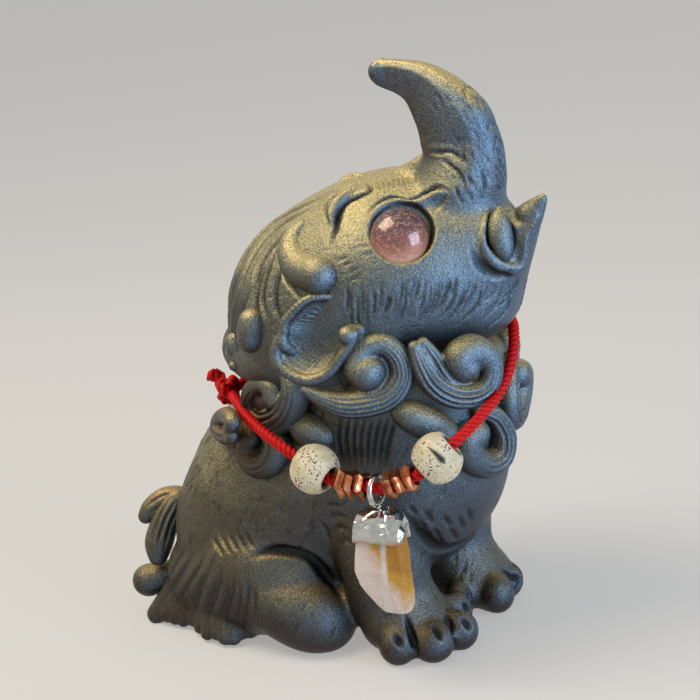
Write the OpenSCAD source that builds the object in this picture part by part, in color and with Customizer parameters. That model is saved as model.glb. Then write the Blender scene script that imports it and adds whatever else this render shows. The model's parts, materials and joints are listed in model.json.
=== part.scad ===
// Baku figurine: a seated, trunk-raised dream eater of modelled clay that wears
// a corded necklace with ceramic beads, copper spacers and a crystal pendant.
// Millimetres. It faces -Y, its right side is -X, its flat underside lies on Z = 0.

/* [Body] */
// Width of the rump across the hips
rump_w = 40; // [36:0.5:46]
// Depth of the rump from belly to tail
rump_l = 40; // [36:0.5:45]
// Height of the rump
rump_h = 42; // [38:0.5:46]
// Width of the chest
chest_w = 34; // [30:0.5:38]
// Depth of the chest
chest_l = 34; // [30:0.5:38]
// Height of the chest centre above the underside
chest_z = 30; // [27:0.5:33]
// Distance of the chest centre ahead of the rump centre
chest_fwd = 22; // [19:0.5:25]
// Width of the neck under the mane
neck_w = 35; // [31:0.5:38]
// Depth of the neck under the mane
neck_l = 40; // [36:0.5:43]

/* [Head] */
// Width of the skull
skull_w = 41; // [38:0.5:44]
// Length of the skull
skull_l = 38; // [35:0.5:41]
// Height of the skull
skull_h = 37; // [34:0.5:40]
// Height of the skull centre above the underside
head_z = 54.5; // [52:0.5:57]
// Distance of the skull centre ahead of the rump centre
head_fwd = 13.5; // [11:0.5:16]
// Height of the face between the brows
face_h = 32.5; // [30:0.5:35]
// Narrowing of the face against the skull, on each side
face_narrow = 1.5; // [0.5:0.25:2.5]
// Narrowing of the muzzle against the face, on each side
muzzle_narrow = 6.5; // [5.5:0.25:7.5]

/* [Trunk and jaw] */
// Thickness of the trunk at its root
trunk_root_d = 14; // [12:0.25:16]
// Thickness of the trunk half way along the hook
trunk_mid_d = 9; // [7.5:0.25:10.5]
// Thickness of the trunk at its blunt tip
trunk_tip_d = 4; // [3:0.25:5.5]
// Rise of the trunk above the middle of the face
trunk_rise = 29; // [26:0.5:32]
// Distance the trunk curls back over the brow
hook_reach = 10.5; // [9:0.5:13]
// Narrowing of the lower jaw against the muzzle, on each side
jaw_narrow = 2.5; // [1.5:0.25:3.5]
// Distance of the pointed lip ahead of the muzzle centre
lip_fwd = 16; // [14:0.5:18]
// Length of a tusk
tusk_l = 9; // [7:0.25:11]
// Thickness of a tusk
tusk_d = 3.6; // [3:0.1:4.4]

/* [Eyes] */
// Diameter of a glass cabochon
eye_d = 9; // [8:0.25:10]
// Height of the dome of a cabochon
eye_dome = 2.4; // [2:0.1:3]
// Thickness of the straight edge of a cabochon
eye_edge = 1.6; // [1.2:0.1:2.2]
// Radial room of a cabochon in its socket
eye_room = 0.1; // [0.05:0.05:0.2]
// Thickness of an eyelid roll
lid_d = 1.6; // [1.2:0.1:2.2]

/* [Ears and brows] */
// Length of an ear along its leaf
ear_l = 17; // [15:0.5:19]
// Width of an ear across its leaf
ear_w = 11; // [9.5:0.25:12.5]
// Thickness of an ear
ear_t = 3; // [2.4:0.2:3.8]
// Thickness of a brow ridge
brow_d = 4; // [3.2:0.2:4.8]
// Diameter of the ball of a brow curl
brow_ball_d = 6.4; // [5.6:0.2:7.2]

/* [Mane] */
// Diameter of a cheek spiral
cheek_curl_d = 14; // [12.5:0.5:15]
// Diameter of a jaw spiral
jaw_curl_d = 11; // [10:0.5:12]
// Thickness of a rolled strand in a spiral
strand_d = 4; // [3.4:0.2:4.6]
// Diameter of a chest curl
chest_curl_d = 9.5; // [8.5:0.25:10.5]
// Thickness of a front lock beside the chest
front_lock_d = 7; // [6:0.2:7.6]
// Thickness of a side lock below an ear
side_lock_d = 6.4; // [5.6:0.2:6.8]
// Diameter of a rear curl behind an ear
rear_curl_d = 10.5; // [9:0.25:12]
// Thickness of a rear lock on the shoulder
rear_lock_d = 6.4; // [5.6:0.2:7.2]
// Diameter of a nape knob
nape_knob_d = 6; // [5:0.2:7]
// Thickness of a nape lock on the skull
nape_lock_d = 4.6; // [4:0.2:5.4]

/* [Legs] */
// Distance between the centres of the front paws
paw_gap = 20; // [18:0.5:22]
// Thickness of a front leg
leg_d = 15; // [13.5:0.5:16]
// Width of a front paw
paw_w = 18; // [16:0.5:19]
// Length of a front paw
paw_l = 18; // [16:0.5:20]
// Height of a paw over the toes
paw_h = 8; // [7:0.25:9]
// Outward turn of a front paw in degrees
paw_turn = 32; // [22:1:40]
// Length of a haunch
haunch_l = 28; // [25:0.5:31]
// Thickness of a haunch
haunch_d = 19; // [17:0.5:21]
// Thickness of a fur lobe where a haunch meets the ground
lobe_d = 3.2; // [2.6:0.2:4]
// Distance between the centres of the hind feet
foot_gap = 31; // [29:0.5:33]
// Length of a folded hind leg from tuft to toe
foot_l = 25; // [22:0.5:27]
// Thickness of a folded hind leg
foot_d = 13; // [12:0.25:14]

/* [Tail] */
// Thickness of the upper tail curl
tail_curl_d = 5.6; // [4.8:0.2:6.4]
// Thickness of the hanging tail lock
tail_lock_d = 6; // [5.2:0.2:6.8]
// Diameter of the lowest tail ball
tail_ball_d = 6.4; // [5.6:0.2:7.2]

/* [Inside] */
// Diameter of the stiffening wire
wire_d = 2; // [1.6:0.1:2.6]
// Diameter of the foil core in the rump
core_d = 22; // [18:0.5:25]

/* [Necklace] */
// Diameter of the twisted cord
cord_d = 2; // [1.6:0.1:2.2]
// Diameter of a ceramic bead
bead_d = 8; // [7:0.1:8.4]
// Length of a ceramic bead along the cord
bead_l = 6.2; // [5.4:0.1:6.4]
// Bore of a ceramic bead
bead_bore = 3.6; // [3.2:0.1:4]
// Free room between a bead and the mane beside it
bead_room = 0.4; // [0.3:0.05:0.8]
// Width of a copper spacer
chip_d = 5; // [4.4:0.1:5.4]
// Thickness of a copper spacer
chip_t = 1.4; // [1.1:0.05:1.5]
// Bore of a copper spacer
chip_bore = 2.9; // [2.7:0.1:3.2]
// Pitch of the copper spacers along the cord
chip_pitch = 1.8; // [1.75:0.05:1.85]
// Inner diameter of the pendant ring
ring_bore = 3.6; // [3:0.1:4]
// Thickness of the ring wire
ring_wire = 0.9; // [0.7:0.05:1.1]
// Free room between the ring and the cord
ring_room = 0.3; // [0.2:0.05:0.4]
// Width of the plated cap
cap_w = 8; // [7.4:0.1:8.8]
// Thickness of the plated cap
cap_t = 6.6; // [6.2:0.1:7]
// Height of the plated cap
cap_h = 6; // [5:0.1:7]
// Depth of the crystal inside the cap
crystal_seat = 3; // [2:0.1:4]
// Width of the crystal point
crystal_w = 8.6; // [8:0.1:9.2]
// Thickness of the crystal point
crystal_t = 6; // [5.4:0.1:6.6]
// Length of the crystal below the cap
crystal_l = 11; // [9:0.2:12.4]

/* [Hidden] */

fn_big = 18;
fn_mid = 12;
fn_small = 8;
face_w = skull_w - 2 * face_narrow;
muzzle_w = face_w - 2 * muzzle_narrow;
jaw_w = muzzle_w - 2 * jaw_narrow;
rump_at = [0, 12.2, rump_h / 2 - 1.2];
chest_at = [0, rump_at[1] - chest_fwd, chest_z];
head_at = [0, rump_at[1] - head_fwd, head_z];
face_at = head_at + [0, -11.5, 7.5];
muzzle_at = head_at + [0, -22, 8.5];
neck_at = (chest_at + head_at) / 2 + [0, -3.5, 1.5];
clay = [0.30, 0.31, 0.33];

// Smooth curve through stations [point, radius], n steps to a span.
function cr(a, b, c, d, t) = 0.5 * (2 * b + (c - a) * t + (2 * a - 5 * b + 4 * c - d) * t * t
  + (3 * b - a - 3 * c + d) * t * t * t);
function flow(st, n) = let (m = len(st) - 1) [
  for (i = [0:m - 1]) for (k = [0:n - 1]) [ for (j = [0, 1])
    cr(st[max(i - 1, 0)][j], st[i][j], st[i + 1][j], st[min(i + 2, m)][j], k / n) ],
  st[m] ];
function ball(r) = [r, r, r];
function unit(v) = v / norm(v);
function across(n) = unit(cross([0, 0, 1], n));
function upward(n) = cross(unit(n), across(n));
module blob(p, r, fn) translate(p) scale(r) sphere(r = 1, $fn = fn);
module chain(st, fn) for (i = [0:len(st) - 2])
  hull() { blob(st[i][0], st[i][1], fn); blob(st[i + 1][0], st[i + 1][1], fn); }
module limb(st, n, fn) chain(flow(st, n), fn);
// A right-hand form as drawn for s = -1, its mirror image for s = 1.
module side(s) { if (s > 0) mirror([1, 0, 0]) children(); else children(); }
module ground() translate([-100, -100, -50]) cube([200, 200, 50]);
// Children turned so that their Z runs along n.
module facing(p, n) translate(p) multmatrix([
    [across(n)[0], upward(n)[0], unit(n)[0], 0],
    [across(n)[1], upward(n)[1], unit(n)[1], 0],
    [across(n)[2], upward(n)[2], unit(n)[2], 0],
    [0, 0, 0, 1]]) children();
// A strand of thickness w that winds inward in a disc of diameter d facing n.
function coil(c, n, d, w, a0, a1) = let (e1 = across(n), e2 = upward(n), m = 11)
  [ for (i = [0:m]) let (t = i / m, a = a0 + (a1 - a0) * t, r = (d - w) / 2 * (1 - 0.85 * t))
    [ c + r * (cos(a) * e1 + sin(a) * e2) + unit(n) * (0.8 * t), ball(w / 2 * (0.8 + 0.3 * t)) ] ];

module f_torso() limb([ [rump_at, [rump_w, rump_l, rump_h] / 2],
  [(rump_at + chest_at) / 2 + [0, 0, 2], [rump_w + chest_w, rump_l + chest_l, rump_h + 34] / 4],
  [chest_at, [chest_w, chest_l, 36] / 2],
  [neck_at, [neck_w, neck_l, 22] / 2] ], 3, fn_big);
module f_head() limb([ [head_at, [skull_w, skull_l, skull_h] / 2],
  [face_at, [face_w, 36, face_h] / 2],
  [muzzle_at, [muzzle_w, 21, 27] / 2],
  [muzzle_at + [0, -4, 4], [muzzle_w - 7, 15, 19] / 2] ], 3, fn_big);
trunk_foot = face_at + [0, -11, 8];
trunk_top = face_at[2] + trunk_rise;
trunk_line = [
  [trunk_foot, ball(trunk_root_d / 2)],
  [[0, trunk_foot[1] - 3.8, trunk_top - 14], ball((trunk_root_d * 0.62 + trunk_mid_d * 0.38) / 2)],
  [[0, trunk_foot[1] - 3.6, trunk_top - 6.4], ball((trunk_root_d * 0.3 + trunk_mid_d * 0.7) / 2)],
  [[0, trunk_foot[1] + 0.2, trunk_top - 0.8], ball(trunk_mid_d / 2)],
  [[0, trunk_foot[1] + hook_reach * 0.5, trunk_top + 1.8], ball((trunk_mid_d + trunk_tip_d) / 4)],
  [[0, trunk_foot[1] + hook_reach, trunk_top + 3.2], ball(trunk_tip_d / 2)] ];
module f_trunk() limb(trunk_line, 3, fn_mid);
lip_at = muzzle_at + [0, -lip_fwd, 9.6];
module f_jaw() difference() {
  limb([ [muzzle_at + [0, -2.5, -4], [jaw_w - 1, 16, 17] / 2],
         [muzzle_at + [0, -6.5, 0], [jaw_w * 0.66, 11.6, 13] / 2],
         [muzzle_at + [0, -11, 4.5], [jaw_w * 0.38, 7.4, 8] / 2],
         [lip_at, [2.4, 2.4, 2.6] / 2] ], 3, fn_mid);
  blob(lip_at + [0, 3.4, 1.6], [2.4, 3.4, 3], fn_mid);
}
tusk_at = muzzle_at + [-jaw_w * 0.235, -11.4, 6.4];
module f_tusk(s) side(s) limb([ [tusk_at + [0.8, -0.4, -tusk_l * 0.46], ball(tusk_d * 0.4)],
  [tusk_at, ball(tusk_d / 2)], [tusk_at + [0.6, 0, tusk_l * 0.42], ball(tusk_d * 0.22)] ], 4, fn_small);

// An eye stands on its socket floor, and the socket axis follows the cheek.
eye_n = [-0.77, -0.50, 0.40];
eye_at = face_at + [-face_w / 2 + 6.3, -8.85, 8.35];
module eye_form() {
  r = (pow(eye_d / 2, 2) + pow(eye_dome, 2)) / (2 * eye_dome);
  translate([0, 0, -eye_edge]) cylinder(d = eye_d, h = eye_edge, $fn = 64);
  intersection() {
    translate([0, 0, eye_dome - r]) sphere(r = r, $fn = 96);
    cylinder(d = eye_d, h = eye_dome + 1, $fn = 64);
  }
}
module f_eye(s) side(s) facing(eye_at, eye_n) eye_form();
module f_socket(s) side(s) facing(eye_at, eye_n) translate([0, 0, -eye_edge])
  cylinder(d = eye_d + 2 * eye_room, h = 14, $fn = 64);
lid_r = (eye_d + lid_d) / 2 + eye_room;
module f_lid(s) side(s) facing(eye_at, eye_n) chain([ for (i = [0:9]) let (a = 15 + 16 * i)
  [ lid_r * [cos(a), sin(a), 0] + [0, 0, 0.4], ball(lid_d / 2) ] ], fn_small);

ear_at = head_at + [-skull_w / 2, -7.4, 0.4];
module f_ear(s) side(s) limb([
  [ear_at + [1.6, -ear_l * 0.38, ear_l * 0.4], [ear_t * 0.5, 1.5, 1.5]],
  [ear_at + [0.2, -ear_l * 0.14, ear_l * 0.16], [ear_t / 2, ear_w * 0.4, ear_w * 0.4]],
  [ear_at + [-0.6, ear_l * 0.1, -ear_l * 0.12], [ear_t / 2, ear_w / 2, ear_w / 2]],
  [ear_at + [-0.2, ear_l * 0.36, -ear_l * 0.32], [ear_t * 0.4, ear_w * 0.2, ear_w * 0.2]] ], 3, fn_small);
brow_at = face_at + [-face_w / 2 + 6.8, -0.4, 13];
module f_brow(s) side(s) limb([
  [brow_at + [3.6, -2, 2.6], ball(brow_d * 0.32)], [brow_at, ball(brow_d / 2)],
  [brow_at + [-2.8, 0.8, -2.8], ball(brow_d / 2)],
  [brow_at + [-4, 1.6, -5.4], ball(brow_d * 0.32)] ], 3, fn_small);
brow_ball = head_at + [-skull_w / 2 + 1.6, -8, 10.4];
module f_brow_curl(s) side(s) limb([
  [brow_ball + [6.2, 3.4, 8.4], ball(brow_ball_d * 0.2)],
  [brow_ball + [3.8, 5.4, 5.8], ball(brow_ball_d * 0.34)],
  [brow_ball + [1.6, 4, 2.2], ball(brow_ball_d * 0.4)],
  [brow_ball, ball(brow_ball_d / 2)] ], 3, fn_small);

// Mane: each right-hand piece is placed from the head or the neck that carries it.
cheek_curl_at = head_at + [-skull_w / 2 + 3.2, -15.6, -4.8];
module f_cheek_curl(s) side(s) {
  chain(coil(cheek_curl_at, [-0.82, -0.5, 0.1], cheek_curl_d, strand_d, -150, 300), fn_small);
  chain([ [cheek_curl_at + [0, cheek_curl_d * 0.86, -2], ball(strand_d * 0.3)],
    [cheek_curl_at + [-1.6, cheek_curl_d * 0.58, -3.2], ball(strand_d * 0.42)],
    coil(cheek_curl_at, [-0.82, -0.5, 0.1], cheek_curl_d, strand_d, -150, 300)[0] ], fn_small);
  hull() { blob(cheek_curl_at + [1.2, 0.7, 0], [2.4, 1, 1] * cheek_curl_d * 0.16, fn_small);
    blob(cheek_curl_at + [3.4, 2, 0], ball(cheek_curl_d * 0.42), fn_small); }
}
jaw_curl_at = head_at + [-muzzle_w / 2 + 2.9, -27, -6];
module f_jaw_curl(s) side(s) translate(s > 0 ? [-3.4, 5.4, -4.4] : [0, 0, 0]) {
  chain(coil(jaw_curl_at, [-0.6, -0.79, 0.08], jaw_curl_d, strand_d * 0.8, -160, 300), fn_small);
  chain([ [jaw_curl_at + [-6.4, 5, 3.4], ball(strand_d * 0.3)],
    [jaw_curl_at + [-5, 3.6, 0], ball(strand_d * 0.36)],
    coil(jaw_curl_at, [-0.6, -0.79, 0.08], jaw_curl_d, strand_d * 0.8, -160, 300)[0] ], fn_small);
  hull() { blob(jaw_curl_at + [0.8, 1, 0], ball(jaw_curl_d * 0.34), fn_small);
    blob(jaw_curl_at + [3.4, 4.4, -1], ball(jaw_curl_d * 0.42), fn_small); }
}
chest_curl_at = neck_at + [-5, -neck_l / 2 + 2, -8.4];
module f_chest_curl(s) side(s) translate(s > 0 ? [0, -0.8, 5] : [0, 0, 0]) limb([
  [chest_curl_at + [-1, 2.4, 4.4], ball(chest_curl_d * 0.3)],
  [chest_curl_at + [-1.6, 0.8, 1.2], ball(chest_curl_d * 0.4)],
  [chest_curl_at, ball(chest_curl_d / 2)],
  [chest_curl_at + [1.4, 0.6, -0.8], ball(chest_curl_d * 0.42)] ], 3, fn_small);
front_lock_at = neck_at + [-neck_w / 2 + 3.7, -13.8, -2.2];
module f_front_lock(s) side(s) translate(s > 0 ? [-1.5, 3, -4.5] : [0, 0, 0]) limb([
  [front_lock_at + [-2, 4.4, 1.6], ball(front_lock_d * 0.3)],
  [front_lock_at + [-0.6, 1.6, 0.6], ball(front_lock_d * 0.46)],
  [front_lock_at, ball(front_lock_d / 2)],
  [front_lock_at + [2.4, -2.8, -1], ball(front_lock_d * 0.4)] ], 3, fn_small);
side_lock_at = neck_at + [-neck_w / 2 + 0.9, 4.4, -5.4];
module f_side_lock(s) side(s) limb([
  [side_lock_at + [1.6, -4, 3.4], ball(side_lock_d * 0.3)],
  [side_lock_at + [0.4, -1.4, 1], ball(side_lock_d * 0.46)],
  [side_lock_at, ball(side_lock_d / 2)],
  [side_lock_at + [1, 2, -0.6], ball(side_lock_d * 0.4)] ], 3, fn_small);
rear_curl_at = head_at + [-skull_w / 2 + 5.4, 7, -10.6];
module f_rear_curl(s) side(s) limb([
  [rear_curl_at + [1.4, -4, 3], ball(rear_curl_d * 0.34)],
  [rear_curl_at + [0, -1, 0.6], ball(rear_curl_d * 0.46)],
  [rear_curl_at, ball(rear_curl_d / 2)],
  [rear_curl_at + [2.4, 3, 0.4], ball(rear_curl_d * 0.4)] ], 3, fn_small);
rear_lock_at = neck_at + [-neck_w / 2 + 1, 15.4, -8];
module f_rear_lock(s) side(s) limb([
  [rear_lock_at + [2.4, 2.4, 3.6], ball(rear_lock_d * 0.42)],
  [rear_lock_at + [0.8, 1, 1.4], ball(rear_lock_d / 2)],
  [rear_lock_at, ball(rear_lock_d / 2)],
  [rear_lock_at + [-0.6, -0.8, -2.6], ball(rear_lock_d * 0.44)] ], 3, fn_small);
nape_knob_at = neck_at + [-neck_w / 2 + 5.5, 26, -8];
module f_nape_knob(s) side(s) limb([
  [nape_knob_at + [2.4, -3.6, 0.6], ball(nape_knob_d * 0.46)],
  [nape_knob_at + [0.8, -1, 0.4], ball(nape_knob_d * 0.48)],
  [nape_knob_at, ball(nape_knob_d / 2)],
  [nape_knob_at + [-0.4, 0.4, 1], ball(nape_knob_d * 0.4)] ], 3, fn_small);
nape_lock_at = head_at + [-skull_w / 2 + 1.8, 6, 2];
module f_nape_lock(s) side(s) limb([
  [nape_lock_at + [0, -0.8, 0.6], ball(nape_lock_d * 0.42)], [nape_lock_at, ball(nape_lock_d / 2)],
  [nape_lock_at + [1.4, 3, -2.4], ball(nape_lock_d * 0.34)],
  [nape_lock_at + [3.2, 6.2, -4.4], ball(nape_lock_d / 2)] ], 3, fn_small);
paw_at = [-paw_gap / 2, chest_at[1] - 4, 0];
module f_front_leg(s) side(s) {
  limb([ [[-paw_gap / 2, chest_at[1] + 1, chest_z - 2], [leg_d * 0.42, leg_d * 0.5, leg_d * 0.5]],
         [[-paw_gap / 2 - 0.6, chest_at[1], chest_z - 12], ball(leg_d / 2)],
         [[-paw_gap / 2, chest_at[1] - 0.6, paw_h + 1], ball(leg_d * 0.47)],
         [paw_at + [0, 0.6, paw_h / 2], [paw_w * 0.44, paw_w * 0.44, paw_h / 2 + 0.5]] ], 3, fn_mid);
  translate(paw_at) rotate(-paw_turn) for (a = [-1.5:1:1.5]) hull() {
    blob([a * paw_w * 0.14, -1, paw_h * 0.42], [paw_w * 0.16, paw_w * 0.2, paw_h * 0.48], fn_small);
    blob([a * paw_w * 0.23, -paw_l * 0.4 + a * a * 0.7, paw_h * 0.38],
      [paw_w * 0.14, paw_l * 0.17, paw_h * 0.42], fn_small);
  }
}
haunch_at = [-foot_gap / 2 + 1.4, rump_at[1] + 2, haunch_d * 0.62];
// Fur lobes fan out from a haunch to the ground: x and share of the haunch's length, at root and tip.
lobes = [ [2.1, 0.53, -0.7, 0.79], [0.1, 0.4, -2.5, 0.58], [-0.9, 0.26, -4.3, 0.37],
  [-1.5, 0.12, -5.5, 0.16], [-1.4, 0, -3.9, -0.03] ];
module f_haunch(s) side(s) {
  limb([
    [haunch_at + [2.6, haunch_l * 0.42, -3.4], [haunch_d * 0.36, haunch_d * 0.4, haunch_d * 0.46]],
    [haunch_at, [haunch_d * 0.44, haunch_d * 0.5, haunch_d * 0.6]],
    [haunch_at + [0.6, -haunch_l * 0.26, -1.4], [haunch_d * 0.4, haunch_d * 0.4, haunch_d * 0.48]] ], 4, fn_mid);
  for (q = lobes) hull() {
    blob(haunch_at + [q[0], q[1] * haunch_l, -haunch_d * 0.2], ball(haunch_d * 0.22), fn_small);
    blob([haunch_at[0] + q[2], haunch_at[1] + q[3] * haunch_l, lobe_d * 0.35], ball(lobe_d / 2), fn_small);
  }
}
foot_at = [-foot_gap / 2, rump_at[1] - 3, 0];
module f_hind_foot(s) side(s) limb([
  [foot_at + [-0.6, foot_l * 0.3, foot_d * 0.86], ball(foot_d * 0.42)],
  [foot_at + [-0.8, -0.6, foot_d * 0.68], ball(foot_d / 2)],
  [foot_at + [0, -foot_l * 0.26, foot_d * 0.46], [foot_d * 0.52, foot_d * 0.5, foot_d * 0.5]],
  [foot_at + [0.6, -foot_l * 0.38, foot_d * 0.34], [foot_d * 0.42, foot_d * 0.36, foot_d * 0.38]] ], 3, fn_mid);

// The tail lies to the right of the rump in three rolled lobes.
tail_at = [-11, rump_at[1] + rump_l / 2 + 1, rump_at[2] - 4];
module f_tail_lock() limb([
  [tail_at + [3, -4, 4], ball(tail_lock_d * 0.46)], [tail_at + [0.6, -0.6, 3], ball(tail_lock_d * 0.46)],
  [tail_at + [-0.6, 1, -2], ball(tail_lock_d / 2)],
  [tail_at + [-1, 1.4, -6.4], ball(tail_lock_d * 0.42)] ], 3, fn_small);
module f_tail_curl() limb([
  [tail_at + [1, 0, 3.6], ball(tail_curl_d * 0.42)], [tail_at + [0.6, 2.4, 3.4], ball(tail_curl_d / 2)],
  [tail_at + [0, 4.6, 2.4], ball(tail_curl_d / 2)],
  [tail_at + [-0.4, 5.2, 0], ball(tail_curl_d * 0.38)] ], 3, fn_small);
tail_ball_at = [tail_at[0] - 2, tail_at[1] + 4.4, tail_ball_d];
module f_tail_ball() limb([
  [tail_ball_at + [2, -3.2, 0.4], ball(tail_ball_d * 0.44)],
  [tail_ball_at + [0.4, -0.4, 0], ball(tail_ball_d / 2)],
  [tail_ball_at, ball(tail_ball_d / 2)] ], 3, fn_small);

// The wire runs from the core through neck and head into the trunk hook.
module f_wire() chain(flow([ for (p = [rump_at + [0, -6, 4], neck_at + [0, 3, -6], head_at,
    face_at + [0, -3, 2], trunk_foot, trunk_line[1][0], trunk_line[2][0], trunk_line[3][0]])
  [p, ball(wire_d / 2)] ], 2), fn_small);
module f_core() limb([ [rump_at + [0, 1.5, -1], ball(core_d / 2)],
  [rump_at + [0, -2, 0.5], [0.51, 0.48, 0.5] * core_d],
  [rump_at + [0, -5, 2], [0.45, 0.43, 0.45] * core_d] ], 4, fn_mid);

// The cord, from the knot behind the right ear, through the beads and round the neck.
cord_path = [ [-11.6, 15.6, 41.8], [-14.6, 12.2, 41.6], [-18.6, 7.6, 41], [-21, 3.2, 39.8], [-22.2, -0.8, 38.2],
  [-22.4, -4.2, 36.4], [-22.8, -10.6, 33.4], [-22.8, -11.4, 33.2], [-22.8, -17.4, 33], [-22.6, -20, 33],
  [-21.2, -25.4, 35], [-20.8, -26, 35.4], [-17.6, -30.4, 39.4], [-14.6, -31.8, 41], [-11, -32.4, 42.4],
  [-7, -32.8, 44], [-3.4, -32.8, 46.2], [0.4, -32, 49], [4.4, -30, 51.2], [8.6, -27.2, 51.2],
  [12.6, -24.6, 50.6], [16.8, -22.4, 50], [20.6, -19.4, 49], [23, -14.8, 47.8], [23.6, -9.4, 46.4],
  [23.2, -3.8, 45.2], [22.4, 1.6, 44.2], [21, 6.8, 43.4], [18, 11.4, 42.8], [13.4, 15, 42.6], [8, 17, 42.6],
  [2.4, 17.6, 42.6], [-3.4, 17.4, 42.4], [-8.6, 16.8, 42.2] ];
i_bead_rear = 5;
i_chip_rear = 7;
i_ring = 8;
i_chip_front = 9;
i_bead_front = 11;
function cord_mid(i) = (cord_path[i] + cord_path[i + 1]) / 2;
function cord_dir(i) = unit(cord_path[i + 1] - cord_path[i]);
function cord_tan(i) = unit(cord_dir(max(i - 1, 0)) + cord_dir(min(i, len(cord_path) - 2)));
module f_cord() {
  n = len(cord_path);
  k = 8;
  polyhedron(
    points = [ for (i = [0:n - 1]) for (j = [0:k - 1]) let (t = cord_tan(i), a = 360 * j / k)
      cord_path[i] + cord_d / 2 * (cos(a) * across(t) + sin(a) * upward(t)) ],
    faces = concat(
      [ [ for (j = [0:k - 1]) j ] ],
      [ [ for (j = [k - 1:-1:0]) (n - 1) * k + j ] ],
      [ for (i = [0:n - 2]) for (j = [0:k - 1]) let (q = (j + 1) % k)
        [i * k + j, (i + 1) * k + j, (i + 1) * k + q, i * k + q] ]));
}
knot_at = [-10.6, 16.8, 42.4];
module f_knot() {
  chain([ for (i = [0:8]) let (a = 45 * i)
    [ knot_at + 1.5 * [cos(a), 0.4 * sin(a), sin(a)] + [0, 0.4, 0], ball(cord_d * 0.62) ] ], fn_small);
  chain([ [knot_at, ball(cord_d * 0.7)], [knot_at + [-0.4, 1.2, 1.6], ball(cord_d / 2)],
    [knot_at + [-1, 2.2, 2.6], ball(cord_d / 2)], [knot_at + [-1.4, 3.4, 3.4], ball(cord_d * 0.54)] ], fn_small);
  chain([ [knot_at, ball(cord_d * 0.7)], [knot_at + [0.8, 1.6, 1.4], ball(cord_d / 2)],
    [knot_at + [0.6, 3, 2.2], ball(cord_d * 0.54)] ], fn_small);
}

module f_bead(i) facing(cord_mid(i), cord_dir(i)) difference() {
  intersection() {
    sphere(d = bead_d, $fn = 96);
    translate([0, 0, -bead_l / 2]) cylinder(d = bead_d + 1, h = bead_l, $fn = 64);
  }
  translate([0, 0, -bead_l]) cylinder(d = bead_bore, h = 2 * bead_l, $fn = 64);
}
module f_bead_room(i) blob(cord_mid(i), ball(bead_d / 2 + bead_room), fn_big);
module f_chip(i, k, sides) facing(cord_mid(i), cord_dir(i))
  translate([0, 0, k * chip_pitch - chip_t / 2]) difference() {
    rotate(40 * k) cylinder(d = chip_d, h = chip_t, $fn = sides);
    translate([0, 0, -1]) cylinder(d = chip_bore, h = chip_t + 2, $fn = 64);
  }
// The pendant hangs plumb from its ring: Y along the cord, Z up.
ring_drop = ring_bore / 2 - cord_d / 2 - ring_room;
stem_top = -ring_drop - ring_bore / 2 - ring_wire / 2;
stem_l = 0.8;
cap_top = stem_top - ring_wire / 2 - stem_l / 2;
module at_ring() translate(cord_mid(i_ring))
  rotate(atan2(-cord_dir(i_ring)[0], cord_dir(i_ring)[1]) + 180) children();
module f_ring() at_ring() {
  translate([0, 0, -ring_drop]) rotate([90, 0, 0]) rotate_extrude($fn = 64)
    translate([(ring_bore + ring_wire) / 2, 0]) circle(d = ring_wire, $fn = 32);
  translate([0, 0, cap_top]) cylinder(d = ring_wire, h = stem_top - cap_top, $fn = 32);
}
module slab(w, t, h) linear_extrude(height = h) polygon([ [-t * 0.5, -w * 0.22], [-t * 0.34, -w * 0.46],
  [t * 0.16, -w * 0.5], [t * 0.5, -w * 0.2], [t * 0.46, w * 0.26], [t * 0.1, w * 0.5], [-t * 0.38, w * 0.42] ]);
module f_crystal() at_ring() translate([0, 0, cap_top - cap_h]) hull() {
  translate([0, 0, crystal_seat - 0.1]) slab(crystal_w * 0.8, crystal_t * 0.8, 0.1);
  translate([0, 0, -crystal_l * 0.3]) slab(crystal_w, crystal_t, 0.1);
  translate([0, -crystal_w * 0.06, -crystal_l * 0.74]) slab(crystal_w * 0.88, crystal_t * 0.86, 0.1);
  translate([0, -crystal_w * 0.16, -crystal_l]) slab(crystal_w * 0.5, crystal_t * 0.5, 0.1);
}
module f_cap() at_ring() translate([0, 0, cap_top - cap_h]) hull() {
  slab(cap_w * 1.12, cap_t * 1.06, 0.1);
  translate([0, 0, cap_h * 0.7]) slab(cap_w, cap_t, 0.1);
  translate([0, 0, cap_h - 0.1]) slab(cap_w * 0.6, cap_t * 0.62, 0.1);
}

module torso() color(clay) difference() { f_torso(); ground(); f_core(); f_wire(); f_cord(); }
module head() color(clay) difference() {
  f_head(); f_torso(); f_socket(-1); f_socket(1); f_wire(); f_cord();
}
module trunk() color(clay) difference() { f_trunk(); f_head(); f_wire(); }
module lower_jaw() color(clay) difference() { f_jaw(); f_head(); f_torso(); f_trunk(); f_cord(); }
module tusk(s) color(clay) difference() { f_tusk(s); f_head(); f_jaw(); f_trunk(); }
module eye(s) color([0.62, 0.38, 0.34]) f_eye(s);
module eyelid(s) color(clay) difference() {
  f_lid(s); f_head(); f_socket(s);
}
module brow_ridge(s) color(clay) difference() { f_brow(s); f_head(); f_lid(s); f_socket(s); }
module brow_curl(s) color(clay) difference() { f_brow_curl(s); f_head(); f_brow(s); }
module ear(s) color(clay) difference() { f_ear(s); f_head(); f_brow_curl(s); f_torso(); }
module cheek_curl(s) color(clay) difference() { f_cheek_curl(s); f_head(); f_torso(); f_ear(s); f_cord(); }
module jaw_curl(s) color(clay) difference() {
  f_jaw_curl(s); f_head(); f_torso(); f_jaw(); f_cheek_curl(s); f_cord();
}
module chest_curl(s) color(clay) difference() { f_chest_curl(s); f_torso(); f_head(); f_jaw_curl(s); f_cord(); }
module front_lock(s) color(clay) difference() {
  f_front_lock(s); f_torso(); f_head(); f_cheek_curl(s); f_jaw_curl(s); f_chest_curl(s); f_cord();
  f_bead_room(i_bead_front);
}
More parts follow.
